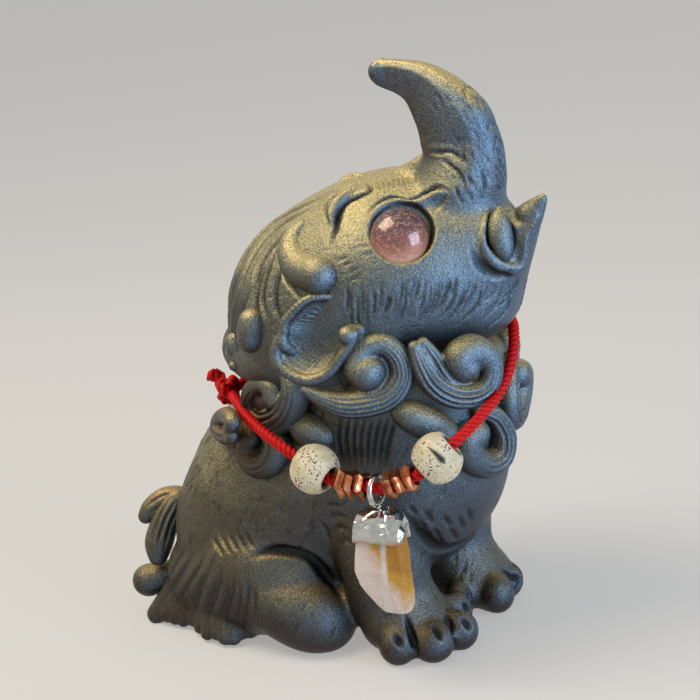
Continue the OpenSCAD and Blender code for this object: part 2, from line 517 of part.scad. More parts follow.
module side_lock(s) color(clay) difference() {
  f_side_lock(s); f_torso(); f_head(); f_cheek_curl(s); f_ear(s); f_front_lock(s); f_cord();
  f_bead_room(i_bead_rear);
}
module rear_curl(s) color(clay) difference() {
  f_rear_curl(s); f_torso(); f_head(); f_ear(s); f_side_lock(s); f_cord();
}
module rear_lock(s) color(clay) difference() {
  f_rear_lock(s); f_torso(); f_head(); f_rear_curl(s); f_side_lock(s); f_cord();
}
module nape_knob(s) color(clay) difference() {
  f_nape_knob(s); f_torso(); f_head(); f_rear_curl(s); f_rear_lock(s); f_cord();
}
module nape_lock(s) color(clay) difference() { f_nape_lock(s); f_head(); f_rear_curl(s); f_ear(s); }
module haunch(s) color(clay) difference() { f_haunch(s); f_torso(); ground(); }
module hind_foot(s) color(clay) difference() { f_hind_foot(s); f_haunch(s); f_torso(); ground(); }
module front_leg(s) color(clay) difference() {
  f_front_leg(s); f_torso(); f_haunch(s); f_hind_foot(s); ground();
}
module tail_lock() color(clay) difference() { f_tail_lock(); f_torso(); f_haunch(-1); }
module tail_curl() color(clay) difference() { f_tail_curl(); f_tail_lock(); f_torso(); f_haunch(-1); }
module tail_ball() color(clay) difference() {
  f_tail_ball(); f_tail_lock(); f_tail_curl(); f_torso(); f_haunch(-1); ground();
}
module armature_wire() color([0.72, 0.73, 0.74]) f_wire();
module foil_core() color([0.80, 0.81, 0.82]) difference() { f_core(); f_wire(); }
module cord() color([0.78, 0.05, 0.09]) f_cord();
module knot() color([0.78, 0.05, 0.09]) difference() {
  f_knot(); f_cord(); f_head(); f_torso(); f_rear_curl(-1); f_nape_knob(-1); f_nape_lock(-1); f_rear_lock(-1);
}
module bead(i) color([0.86, 0.83, 0.74]) f_bead(i);
module chip(i, k, sides) color([0.72, 0.40, 0.26]) f_chip(i, k, sides);
module pendant_ring() color([0.80, 0.82, 0.84]) f_ring();
module pendant_cap() color([0.78, 0.80, 0.83]) difference() { f_cap(); f_crystal(); }
module crystal() color([0.90, 0.76, 0.60]) f_crystal();

torso();
head();
trunk();
lower_jaw();
tusk(1);  // tusk_left
tusk(-1);  // tusk_right
eye(1);  // eye_left
eye(-1);  // eye_right
eyelid(1);  // eyelid_left
eyelid(-1);  // eyelid_right
ear(1);  // ear_left
ear(-1);  // ear_right
brow_ridge(1);  // brow_ridge_left
brow_ridge(-1);  // brow_ridge_right
brow_curl(1);  // brow_curl_left
brow_curl(-1);  // brow_curl_right
cheek_curl(1);  // cheek_curl_left
cheek_curl(-1);  // cheek_curl_right
jaw_curl(1);  // jaw_curl_left
jaw_curl(-1);  // jaw_curl_right
chest_curl(1);  // chest_curl_left
chest_curl(-1);  // chest_curl_right
front_lock(1);  // front_lock_left
front_lock(-1);  // front_lock_right
side_lock(1);  // side_lock_left
side_lock(-1);  // side_lock_right
rear_curl(1);  // rear_curl_left
rear_curl(-1);  // rear_curl_right
rear_lock(1);  // rear_lock_left
rear_lock(-1);  // rear_lock_right
nape_knob(1);  // nape_knob_left
nape_knob(-1);  // nape_knob_right
nape_lock(1);  // nape_lock_left
nape_lock(-1);  // nape_lock_right
front_leg(1);  // front_leg_left
front_leg(-1);  // front_leg_right
haunch(1);  // haunch_left
haunch(-1);  // haunch_right
hind_foot(1);  // hind_foot_left
hind_foot(-1);  // hind_foot_right
tail_lock();
tail_curl();
tail_ball();
armature_wire();
foil_core();
cord();
knot();
pendant_ring();
pendant_cap();
crystal();
bead(i_bead_front);  // bead_front
bead(i_bead_rear);  // bead_rear
chip(i_chip_rear, -1, 7);  // chip_1
chip(i_chip_rear, 0, 8);  // chip_2
chip(i_chip_rear, 1, 6);  // chip_3
chip(i_chip_front, -1, 8);  // chip_4
chip(i_chip_front, 0, 6);  // chip_5
chip(i_chip_front, 1, 7);  // chip_6
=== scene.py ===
# %% [markdown]
# # A seated baku of modelled clay
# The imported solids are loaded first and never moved. Every visible surface is then made
# here in the same frame: clay lumps pressed from balls, strokes carved with a tool, glass
# eyes, a twisted cord with beads, and a crystal. Lengths below are millimetres, and a
# finished piece is scaled to metres in one place.

# %% Load the solids and keep their box
import json
import math
import random

import bpy
import numpy as np
from mathutils import Matrix, Vector, bvhtree, kdtree, noise

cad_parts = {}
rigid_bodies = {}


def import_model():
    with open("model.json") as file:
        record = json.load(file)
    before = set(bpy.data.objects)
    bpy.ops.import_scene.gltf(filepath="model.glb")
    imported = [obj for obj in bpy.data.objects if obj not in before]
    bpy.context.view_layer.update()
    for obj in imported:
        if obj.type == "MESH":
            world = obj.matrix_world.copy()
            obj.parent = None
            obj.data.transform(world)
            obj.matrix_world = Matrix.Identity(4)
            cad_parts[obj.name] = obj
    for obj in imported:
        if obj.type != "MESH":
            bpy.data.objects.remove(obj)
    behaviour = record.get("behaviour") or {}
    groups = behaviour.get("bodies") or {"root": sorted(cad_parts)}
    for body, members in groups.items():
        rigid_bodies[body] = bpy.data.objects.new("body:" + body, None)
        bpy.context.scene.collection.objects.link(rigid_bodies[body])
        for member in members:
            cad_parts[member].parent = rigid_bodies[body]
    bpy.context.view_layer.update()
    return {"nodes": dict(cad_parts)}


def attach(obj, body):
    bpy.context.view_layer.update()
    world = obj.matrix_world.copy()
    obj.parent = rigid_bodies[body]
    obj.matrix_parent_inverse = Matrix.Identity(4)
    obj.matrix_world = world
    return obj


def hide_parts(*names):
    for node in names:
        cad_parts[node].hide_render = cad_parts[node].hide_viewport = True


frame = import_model()
MM = 0.001

# %% [markdown]
# ## The camera
# The photograph was taken from the figure's right front, a little above, with the camera
# tilted so that the figure leans left. The same view helps to place details: a spot in the
# picture is turned into a line of sight, and where that line meets the clay, the detail sits.

# %% Camera at the photograph's viewing angle
IMAGE = 700
LENS = 109.8
SENSOR = 36
VIEW_AZIMUTH = math.radians(-55)
VIEW_RISE = math.radians(16)
VIEW_ROLL = math.radians(7)
VIEW_DISTANCE = 350
VIEW_TARGET = np.array((-2.5, -2.8, 48))
FOCAL = LENS / SENSOR * IMAGE

toward = np.array((math.sin(VIEW_AZIMUTH) * math.cos(VIEW_RISE),
                   -math.cos(VIEW_AZIMUTH) * math.cos(VIEW_RISE), math.sin(VIEW_RISE)))
level = np.array((math.cos(VIEW_AZIMUTH), math.sin(VIEW_AZIMUTH), 0))
upright = np.cross(toward, level)
right = level * math.cos(VIEW_ROLL) - upright * math.sin(VIEW_ROLL)
up = upright * math.cos(VIEW_ROLL) + level * math.sin(VIEW_ROLL)
eye_point = VIEW_TARGET + VIEW_DISTANCE * toward

camera = bpy.data.objects.new("camera", bpy.data.cameras.new("camera"))
camera.data.lens = LENS
camera.data.sensor_width = SENSOR
camera.data.clip_start = 0.01
turn = Matrix((right, up, toward)).transposed().to_4x4()
camera.matrix_world = Matrix.Translation(Vector(eye_point * MM)) @ turn
bpy.context.scene.collection.objects.link(camera)
bpy.context.scene.camera = camera


def sight(px, py):
    """The direction of sight through a spot of the picture."""
    ray = -toward + (px - IMAGE / 2) / FOCAL * right + (IMAGE / 2 - py) / FOCAL * up
    return ray / np.linalg.norm(ray)


def on_plane(spots, anchor, normal):
    """Spots of the picture, dropped along the lines of sight on a plane through anchor."""
    rays = [sight(*spot[:2]) for spot in spots]
    return [eye_point + ray * np.dot(anchor - eye_point, normal) / np.dot(ray, normal) for ray in rays]


print("camera at", np.round(eye_point, 1), "mm")

# %% [markdown]
# ## Colour and nodes
# Colours are written as the hex codes a painter would pick and turned to linear light by one
# function. One more function adds a node, sets it and links it. The short ones after it stand
# for what most finishes share, so a material reads as a list.

# %% Colours and one function for nodes


def colour(code):
    """sRGB hex to linear red, green, blue, alpha."""
    parts = [int(code[i:i + 2], 16) / 255 for i in (1, 3, 5)]
    return [c / 12.92 if c <= 0.04045 else ((c + 0.055) / 1.055) ** 2.4 for c in parts] + [1.0]


def node(owner, kind, settings=None, **links):
    """Adds a node with its settings; a link is a socket of another node or a plain value."""
    made = owner.node_tree.nodes.new("ShaderNode" + kind)
    for key, value in (settings or {}).items():
        setattr(made, key, value)
    for key, value in links.items():
        socket = made.inputs[int(key[1:])] if key[0] == "_" else made.inputs[key.replace("_", " ")]
        if isinstance(value, bpy.types.NodeSocket):
            owner.node_tree.links.new(value, socket)
        else:
            socket.default_value = value
    return made


def new_material(name):
    """A material without nodes."""
    made = bpy.data.materials.new(name)
    made.use_nodes = True
    made.node_tree.nodes.clear()
    return made


# %% What most finishes share


def place_of(made):
    """The piece's own coordinates."""
    return node(made, "TexCoord").outputs["Object"]


def cloud(made, size, detail):
    """A noise with blotches of about size millimetres."""
    return node(made, "TexNoise", Vector=place_of(made), Scale=1 / (size * MM), Detail=detail).outputs[0]


def cells(made, size):
    """A pattern of cells of about size millimetres."""
    return node(made, "TexVoronoi", Vector=place_of(made), Scale=1 / (size * MM)).outputs


def painted(made, name):
    """The value that was painted on a piece's points under this name."""
    return node(made, "Attribute", {"attribute_name": name}).outputs["Fac"]


def spread(made, value, low, high, first=0.0, last=1.0):
    """Maps the stretch from low to high on the stretch from first to last."""
    return node(made, "MapRange", _0=value, _1=low, _2=high, _3=first, _4=last).outputs[0]


def add_share(made, value, share, base):
    """Base plus a share of value."""
    return node(made, "Math", {"operation": "MULTIPLY_ADD"}, _0=value, _1=share, _2=base).outputs[0]


def ramp(made, value, stops):
    """A colour ramp with stops of (place, hex code)."""
    scale = node(made, "ValToRGB", Fac=value)
    elements = scale.color_ramp.elements
    while len(elements) < len(stops):
        elements.new(0.5)
    for element, (place, code) in zip(elements, stops):
        element.position = place
        element.color = colour(code)
    return scale.outputs[0]


def blend(made, share, first, second, kind="MIX"):
    """Blends a share of the second colour, a socket or a hex code, into the first."""
    second = colour(second) if isinstance(second, str) else second
    settings = {"data_type": "RGBA", "blend_type": kind}
    return node(made, "Mix", settings, _0=share, _6=first, _7=second).outputs[2]


def bump(made, height, strength, depth):
    """Fine relief, depth in millimetres."""
    return node(made, "Bump", Strength=strength, Distance=depth * MM, Height=height).outputs[0]


def coated(made, **links):
    """Ends a material with its surface and returns it."""
    node(made, "OutputMaterial", Surface=node(made, "BsdfPrincipled", **links).outputs[0])
    return made


# %% [markdown]
# ## The figure's finish
# The figure is baked polymer clay worked up with mica powder: a dark gunmetal skin. Light and
# shade are painted on it: raised, upward faces carry a painted gold highlight of warm light from
# above, forward faces a painted steel-blue cool light from the front, and undersides and low
# parts are painted bronze, as shade and warm light reflected from below. Cuts are painted dark,
# as shade in the grooves, with some dark wash. The powder is a fine grain, so the gloss is
# broken up. On the trunk the painted gold keeps to the crest, the paws get less of it as painted
# shade, and the nook behind each ear is painted browner as shade. A painted image could carry
# all this, but tints that follow direction, height and depth of cut need no unwrapping and fit
# every shape below.

# %% Mica-dusted clay with painted light and shade
GRAIN = 0.30
PATCH = 5.0
# Heights between which the painted light changes: low parts painted warm and darker, the head in painted
# cool light.
WARM_SHADE_BELOW = 24
COOL_LIGHT_ABOVE = 44
WANDER = 14
FRONT = (0.0, -0.96, -0.28)
TRUNK_FROM = 76
TRUNK_FADE = 8
# Heights over which the paws lose the painted gold highlight, as painted shade.
PAW_SHADE = (5, 13)
# Centre and reach of the painted shade in the nook behind each ear.
NOOK_SHADE = (16, 10, 39)
NOOK_SHADE_REACH = (5, 11)
# Ramps from shaded undersides to lit tops: the brown below is painted shade, the gold above a painted
# highlight.
WARM_LIT_RAMP = [(0.05, "#3b2f28"), (0.32, "#4b4139"), (0.52, "#5f5f57"), (0.70, "#737566"), (0.86, "#9f9a78"),
         (1.0, "#cabc88")]
COOL_LIT_RAMP = [(0.05, "#4c4a4e"), (0.30, "#5a6f86"), (0.50, "#667f95"), (0.70, "#76888e"), (0.86, "#a09a7c"),
         (1.0, "#cbb880")]


def painted_light_clay():
    made = new_material("mica_dusted_clay_with_painted_light")
    normal = node(made, "NewGeometry").outputs["Normal"]
    facing = node(made, "SeparateXYZ", Vector=normal).outputs["Z"]
    x, y, z = node(made, "SeparateXYZ", Vector=place_of(made)).outputs
    patch = cloud(made, PATCH, 4.0)
    grain = cloud(made, GRAIN, 3.0)
    on_trunk = spread(made, z, TRUNK_FROM * MM, (TRUNK_FROM + TRUNK_FADE) * MM)
    # Painted light by facing: upward faces gold as under a warm lamp above, downward faces brown as in
    # shade.
    lean = spread(made, facing, -1.0, 1.0, -0.20, 0.80)
    # On the trunk only the crest keeps the painted gold highlight.
    crest = spread(made, facing, 0.30, 0.92, -0.17, 0.22)
    # Painted shade: the paws get less of the painted gold highlight.
    paw_shade = spread(made, z, PAW_SHADE[0] * MM, PAW_SHADE[1] * MM, -0.18, 0.0)
    lean = add_share(made, crest, on_trunk, lean)
    lean = add_share(made, patch, 0.16, lean)
    lean = add_share(made, paw_shade, 1.0, lean)
    speck = add_share(made, grain, 0.24, lean)
    # Forward faces get a painted cool light, as from a lamp in front.
    front = node(made, "VectorMath", {"operation": "DOT_PRODUCT"}, _0=normal, _1=FRONT).outputs["Value"]
    ahead = add_share(made, on_trunk, 0.32, add_share(made, patch, 0.30, front))
    cool_light_share = spread(made, ahead, 0.10, 0.85)
    tint = blend(made, cool_light_share, ramp(made, speck, WARM_LIT_RAMP), ramp(made, speck, COOL_LIT_RAMP))
    # Low parts are tinted bronze: painted warm light reflected from below, darker than the head's painted
    # cool light.
    wander = add_share(made, patch, WANDER * MM, z)
    low = spread(made, wander, (WARM_SHADE_BELOW + WANDER / 2) * MM, (COOL_LIGHT_ABOVE + WANDER / 2) * MM, 0.8, 0.0)
    tint = blend(made, low, tint, "#d3bfae", "MULTIPLY")
    # Painted shade: the nook behind each ear is tinted browner and darker.
    aside = node(made, "Math", {"operation": "ABSOLUTE"}, _0=x).outputs[0]
    folded = node(made, "CombineXYZ", X=aside, Y=y, Z=z).outputs[0]
    away = node(made, "VectorMath", {"operation": "DISTANCE"}, _0=folded, _1=[c * MM for c in NOOK_SHADE])
    nook_shade = spread(made, away.outputs["Value"], NOOK_SHADE_REACH[0] * MM, NOOK_SHADE_REACH[1] * MM, 0.85, 0.0)
    tint = blend(made, nook_shade, tint, "#c4a593", "MULTIPLY")
    # The painted light tints, broken up by the clay's own random grain.
    flash = spread(made, grain, 0.34, 0.66, 0.68, 1.28)
    lit_tint_and_grain = node(made, "HueSaturation", Color=tint, Value=flash).outputs[0]
    # Cuts are painted dark: painted shade in the grooves, with some dark wash.
    shade = spread(made, painted(made, "hollow"), 0.03, 0.45, 0.0, 0.85)
    return coated(made, Base_Color=blend(made, shade, lit_tint_and_grain, "#171b20"), Metallic=0.75,
                  Roughness=spread(made, grain, 0.3, 0.7, 0.28, 0.52), Normal=bump(made, grain, 0.9, 0.20))


clay = painted_light_clay()
print("finish:", clay.name)

# %% [markdown]
# ## Clay helpers
# A modeller rolls balls of clay, presses them into a lump and smooths the joins. Here a ball
# is one primitive, copied along a path; the copies are joined, remeshed into one skin, and
# softened. That blends a trunk into a face, which separate solids can't. Metaballs blend too,
# but they swell where they meet, and a remesh keeps every ball at its written size.

# %% Balls along a path
BIG_BALL = 4.5
LEAST_BALL = 0.05
TWIN = (-1, 1, 1, 1, 1, 1)


def pellet_model(name, subdivisions):
    """A ball of unit radius, the start of every lump."""
    bpy.ops.object.select_all(action="DESELECT")
    bpy.ops.mesh.primitive_ico_sphere_add(subdivisions=subdivisions, radius=1)
    bpy.context.object.name = name
    return bpy.context.object


small_ball = pellet_model("small_ball", 3)
big_ball = pellet_model("big_ball", 5)


def unit(way):
    """A direction of length one."""
    return np.array(way, float) / np.linalg.norm(way)


def flow(stations, steps):
    """Balls on a smooth path through stations of (point, radius or three radii)."""
    rows = [np.array(list(p) + list(np.ones(3) * np.array(r))) for p, r in stations]
    balls = []
    for i in range(len(rows) - 1):
        a, b, c, d = rows[max(i - 1, 0)], rows[i], rows[i + 1], rows[min(i + 2, len(rows) - 1)]
        for t in np.arange(steps) / steps:
            balls.append(0.5 * (2 * b + (c - a) * t + (2 * a - 5 * b + 4 * c - d) * t ** 2
                                + (3 * b - a - 3 * c + d) * t ** 3))
    return balls + [rows[-1]]


def both(balls):
    """Right-hand balls with their left twins."""
    return balls + [b * TWIN for b in balls]


# %% Lumps pressed from balls


def pick(*pieces):
    """Selects these pieces alone; the last one is active."""
    bpy.ops.object.select_all(action="DESELECT")
    for piece in pieces:
        piece.select_set(True)
    bpy.context.view_layer.objects.active = pieces[-1]


def press(name, balls, voxel, rounds, lumps=()):
    """Joins balls and other lumps, fuses them into one skin and smooths it."""
    pellets = []
    for ball in balls:
        model = big_ball if max(ball[3:]) > BIG_BALL else small_ball
        pellet = model.copy()
        pellet.data = model.data.copy()
        pellet.location = ball[:3]
        pellet.scale = np.maximum(ball[3:], LEAST_BALL)
        bpy.context.scene.collection.objects.link(pellet)
        pellets.append(pellet)
    pick(*lumps, *pellets)
    bpy.ops.object.transform_apply(location=True, rotation=True, scale=True)
    bpy.ops.object.join()
    lump = bpy.context.object
    lump.name = name
    lump.data.name = name
    fuse = lump.modifiers.new("fuse", "REMESH")
    fuse.mode = "VOXEL"
    fuse.voxel_size = voxel
    bpy.ops.object.modifier_apply(modifier=fuse.name)
    smooth(lump, rounds)
    return lump


def smooth(lump, rounds):
    """Rubs the skin with a wet finger: rounds passes of averaging."""
    bpy.context.view_layer.objects.active = lump
    rub = lump.modifiers.new("rub", "SMOOTH")
    rub.factor = 0.5
    rub.iterations = rounds
    bpy.ops.object.modifier_apply(modifier=rub.name)


# %% Reading and writing a skin


def read_skin(lump):
    """The skin's points and normals as arrays."""
    count = len(lump.data.vertices)
    points = np.empty(count * 3)
    normals = np.empty(count * 3)
    lump.data.vertices.foreach_get("co", points)
    lump.data.vertices.foreach_get("normal", normals)
    return points.reshape(-1, 3), normals.reshape(-1, 3)


def write_skin(lump, points):
    """Puts moved points back."""
    lump.data.vertices.foreach_set("co", points.ravel())
    lump.data.update()


def skin_tree(lump):
    """A search tree on the skin, for lines of sight and for the nearest point."""
    points, _ = read_skin(lump)
    faces = [tuple(p.vertices) for p in lump.data.polygons]
    return bvhtree.BVHTree.FromPolygons([Vector(p) for p in points], faces)


def point_tree(points):
    """A search tree on loose points."""
    tree = kdtree.KDTree(len(points))
    for i, point in enumerate(points):
        tree.insert(point, i)
    tree.balance()
    return tree


# %% [markdown]
# ## Tools for the surface
# Fur, wrinkles and nail slits are pressed in with a blunt needle. A stroke is a short path on
# the skin; points near it are pushed in, and a little clay swells up along both edges. How
# deep each point was cut is kept as an attribute, so that the finish can paint the cuts dark:
# painted shade in the grooves, with some dark wash. A bump pattern would be quicker, but it
# lies flat at the outline, where real strokes show.

# %% Strokes on the skin


def curve(spots, step):
    """A smooth run through spots, with a point about every step."""
    rows = flow([(tuple(s) + (0,) * (3 - len(s)), 0) for s in spots], 16)
    path = np.array([row[:3] for row in rows])
    run = np.concatenate(([0], np.cumsum(np.linalg.norm(np.diff(path, axis=0), axis=1))))
    marks = np.linspace(0, run[-1], max(2, int(run[-1] / step) + 1))
    return np.stack([np.interp(marks, run, path[:, k]) for k in range(3)], axis=1)


def meet(tree, spot):
    """Where the line of sight through a spot of the picture meets the skin, and the normal."""
    return tree.ray_cast(Vector(eye_point), Vector(sight(*spot[:2])))[:2]


def seen(tree, spots, step=2.0):
    """A stroke drawn over the picture, dropped on the skin along the lines of sight."""
    hits = [meet(tree, spot)[0] for spot in curve(spots, step)]
    return [np.array(hit) for hit in hits if hit is not None]


def touch(tree, spot):
    """Where a spot of the picture meets the skin; a spot beside it is drawn in until it does."""
    for pull in np.linspace(0, 0.2, 41):
        hit, _ = meet(tree, np.array(spot) * (1 - pull) + IMAGE / 2 * pull)
        if hit is not None:
            return np.array(hit)


def drawn(tree, groups):
    """Strokes of groups of (paths over the picture, half width, depth), on both sides."""
    strokes = []
    for paths, width, depth in groups:
        for spots in paths:
            path = seen(tree, spots)
            twin = [np.array(tree.find_nearest(Vector(p * (-1, 1, 1)))[0]) for p in path]
            strokes += [(path, width, depth), (twin, width, depth)]
    return strokes


def comb(tree, start, heading, length, bend, steps):
    """A stroke that starts near a point and follows a heading over the skin."""
    spot = Vector(start)
    stroke = []
    for _ in range(steps):
        near, normal, _, _ = tree.find_nearest(spot)
        stroke.append(np.array(near))
        way = Vector(heading(near))
        way = way - normal * way.dot(normal)
        if way.length < 1e-6:
            break
        way = Matrix.Rotation(bend / steps, 3, normal) @ way.normalized()
        spot = near + way * (length / (steps - 1))
    return stroke


# %% Carving strokes
SPACING = 0.45
TIP = 0.15
TIP_GROWTH = 3.0
SLIM = 0.55
EDGE_REACH = 1.9
EDGE_AT = 1.3
EDGE_WIDE = 0.55
EDGE_SHARE = 0.14
EDGE_MOST = 0.06
EDGE_FILL = 0.08


def deepen(lump, depths):
    """Keeps how deep each point was cut, the deepest cut of all so far."""
    store = lump.data.attributes.get("hollow") or lump.data.attributes.new("hollow", "FLOAT", "POINT")
    before = np.zeros(len(depths))
    store.data.foreach_get("value", before)
    store.data.foreach_set("value", np.maximum(before, depths))


def carve(lump, strokes):
    """Presses strokes of (path, half width, depth) into the skin; a minus depth raises it."""
    points, normals = read_skin(lump)
    tree = point_tree(points)
    cut = np.zeros(len(points))
    rise = np.zeros(len(points))
    for path, width, depth in strokes:
        if len(path) < 2:
            continue
        fine = curve(path, SPACING * width)
        for k, spot in enumerate(fine):
            taper = min(1.0, TIP + TIP_GROWTH * min(k, len(fine) - 1 - k) / len(fine))
            reach = width * (SLIM + (1 - SLIM) * taper)
            hits = tree.find_range(spot, EDGE_REACH * reach)
            if not hits:
                continue
            index = np.array([h[1] for h in hits])
            away = np.array([h[2] for h in hits]) / reach
            dip = np.clip(1 - away ** 2, 0, 1) ** 1.5 * taper
            if depth > 0:
                cut[index] = np.maximum(cut[index], depth * dip)
                swell = min(EDGE_SHARE * depth, EDGE_MOST) * taper
                edge = np.clip(1 - ((away - EDGE_AT) / EDGE_WIDE) ** 2, 0, 1) * swell
                rise[index] = np.maximum(rise[index], edge)
            else:
                rise[index] = np.maximum(rise[index], -depth * dip)
    rise *= np.exp(-cut / EDGE_FILL)
    write_skin(lump, points + normals * (rise - cut)[:, None])
    deepen(lump, cut)


# %% [markdown]
# ## Finishing a piece
# A finished piece is scaled to metres, shaded smooth, given its material and tied to the body it
# moves with, and the solids it stands for are hidden. The left twin of a right-hand piece is its
# mirror image with its own mesh, because a live Mirror modifier would make both one piece.

# %% Finish and mirror


def finish(piece, material, slot, body, *nodes):
    """Scales a piece to metres, gives it its material, ties it to its body and hides the solids it stands
    for.
    """
    piece.data.transform(Matrix.Scale(MM, 4))
    piece.data.materials.clear()
    piece.data.materials.append(material)
    pick(piece)
    bpy.ops.object.shade_smooth()
    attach(piece, body)
    if nodes:
        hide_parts(*nodes)
    print(piece.name, "faces:", len(piece.data.polygons))
    return piece


def paint(piece, name, values):
    """Stores one value for each point as an attribute."""
    piece.data.attributes.new(name, "FLOAT", "POINT").data.foreach_set("value", np.array(values, float))


def left_twin(piece, name, shift=(0, 0, 0)):
    """A mirror image across the middle, moved by shift, with its faces turned outward."""
    twin = piece.copy()
    twin.data = piece.data.copy()
    twin.name = name
    twin.data.name = name
    bpy.context.scene.collection.objects.link(twin)
    twin.data.transform(Matrix.Translation(Vector(shift)) @ Matrix.Scale(-1, 4, (1, 0, 0)))
    twin.data.flip_normals()
    return twin


def finish_clay(piece, *nodes):
    """Finishes a piece of the figure's clay."""
    finish(piece, clay, "modelled_clay", "figure", *nodes)


def clay_pair(piece, stem, shift=(0, 0, 0)):
    """Finishes a right-hand clay piece and its left twin."""
    twin = left_twin(piece, stem + "_left_clay", shift)
    finish_clay(piece, stem + "_right")
    finish_clay(twin, stem + "_left")


# %% [markdown]
# ## Necklace cord
# The necklace is a red cord twisted from three strands. It leaves its knot behind the right
# ear, runs through the beads, round the throat and back. Its route repeats the solid's points.
# A bevelled curve would give a plain round tube. Here the skin is swept round the route with
# three lobes that turn as they go, which gives the lay.

# %% Meshes from rings of points


def new_piece(name, points, edges, faces):
    """An object with a mesh of these points."""
    mesh = bpy.data.meshes.new(name)
    mesh.from_pydata([tuple(p) for p in points], edges, faces)
    made = bpy.data.objects.new(name, mesh)
    bpy.context.scene.collection.objects.link(made)
    return made


def tube(rings, sides):
    """The faces of a skin through rings of points, closed at both ends."""
    faces = []
    for i in range(rings - 1):
        for j in range(sides):
            low = (i * sides + j, i * sides + (j + 1) % sides)
            faces.append(low + (low[1] + sides, low[0] + sides))
    return faces + [tuple(range(sides))[::-1], tuple(range((rings - 1) * sides, rings * sides))]


# %% Twisted cord along its route
CORD = 2.0
SPAN = CORD * 0.92
LAY = 3.0
CORD_SIDES = 18
CORD_STEP = 0.25
VALLEY = 0.64
LOBE = 0.39
ROUTE = [(-11.6, 15.6, 41.8), (-14.6, 12.2, 41.6), (-18.6, 7.6, 41), (-21, 3.2, 39.8), (-22.2, -0.8, 38.2),
         (-22.4, -4.2, 36.4), (-22.8, -10.6, 33.4), (-22.8, -11.4, 33.2), (-22.8, -17.4, 33),
         (-22.6, -20, 33), (-21.2, -25.4, 35), (-20.8, -26, 35.4), (-17.6, -30.4, 39.4), (-14.6, -31.8, 41),
         (-11, -32.4, 42.4), (-7, -32.8, 44), (-3.4, -32.8, 46.2), (0.4, -32, 49), (4.4, -30, 51.2),
         (8.6, -27.2, 51.2), (12.6, -24.6, 50.6), (16.8, -22.4, 50), (20.6, -19.4, 49), (23, -14.8, 47.8),
         (23.6, -9.4, 46.4), (23.2, -3.8, 45.2), (22.4, 1.6, 44.2), (21, 6.8, 43.4), (18, 11.4, 42.8),
         (13.4, 15, 42.6), (8, 17, 42.6), (2.4, 17.6, 42.6), (-3.4, 17.4, 42.4), (-8.6, 16.8, 42.2)]


def twisted(name, path, swell=lambda t: 1.0):
    """A three-lobed skin swept along a path, closed at both ends, with its crowns painted."""
    spots = curve(path, CORD_STEP)
    ways = np.gradient(spots, axis=0)
    ways /= np.linalg.norm(ways, axis=1)[:, None]
    across = np.cross(ways[0], (0, 0, 1))
    angles = np.arange(CORD_SIDES) * 2 * math.pi / CORD_SIDES
    rows = []
    crowns = []
    for i, (spot, way) in enumerate(zip(spots, ways)):
        across = unit(across - way * np.dot(across, way))
        over = np.cross(way, across)
        crown = np.abs(np.cos(1.5 * (angles - 2 * math.pi * i * CORD_STEP / LAY)))
        reach = (SPAN / 2 * swell(i / (len(spots) - 1)) * (VALLEY + LOBE * crown))[:, None]
        rows.append(spot + reach * np.cos(angles)[:, None] * across + reach * np.sin(angles)[:, None] * over)
        crowns.append(crown)
    made = new_piece(name, np.concatenate(rows), [], tube(len(spots), CORD_SIDES))
    paint(made, "crown", np.concatenate(crowns))
    return made


def red_cord():
    made = new_material("red_twisted_nylon")
    fibre = cloud(made, 0.22, 3.0)
    tint = ramp(made, fibre, [(0.3, "#9a0207"), (0.55, "#da060b"), (0.8, "#f2160f")])
    # Painted shade: the valleys between the strands are darkened.
    valley_shade = spread(made, painted(made, "crown"), 0.0, 0.7, 0.85, 0.0)
    return coated(made, Base_Color=blend(made, valley_shade, tint, "#5a0205"), Roughness=0.55,
                  Specular_IOR_Level=0.25, Normal=bump(made, fibre, 0.5, 0.06))


cord_red = red_cord()
cord = twisted("necklace_cord", ROUTE)
finish(cord, cord_red, "twisted_cord", "figure", "cord")

# %% Knot with its two tails
KNOT = np.array((-10.6, 16.8, 42.4))
KNOT_SIZE = 0.62
KNOT_SHIFT = (0.2, 0.6, 0)
FIRST_TAIL = [(-0.4, 3.6, 3.0), (-0.1, 2.3, 1.9)]
LAST_TAIL = [(1.2, 2.2, 1.2), (0.8, 3.6, 2.0)]
turns = np.linspace(0.35, 2 * math.pi - 0.35, 26)
trefoil = np.stack([np.sin(turns) + 2 * np.sin(2 * turns), 1.1 * np.sin(3 * turns),
                    np.cos(turns) - 2 * np.cos(2 * turns)], axis=1) * KNOT_SIZE + KNOT_SHIFT
knot_path = [tuple(KNOT + p) for p in FIRST_TAIL + list(trefoil) + LAST_TAIL]


def tail_swell(t):
    """The two ends swell to a small ball and close."""
    end = min(t, 1 - t)
    return min(1, 0.4 + 28 * end) * (1 + 0.55 * math.exp(-((end - 0.028) / 0.02) ** 2))


knot = twisted("necklace_knot", knot_path, tail_swell)
finish(knot, cord_red, "twisted_cord", "figure", "knot")

# %% [markdown]
# ## The body
# Rump, chest and neck are one lump, with the legs and haunches pressed on and the joins
# rubbed smooth. A bulk comes first, at a coarse voxel, so that its joins can be rubbed hard;
# toes and fur lobes go on at a finer one and stay crisp. The fur is left to the strokes.

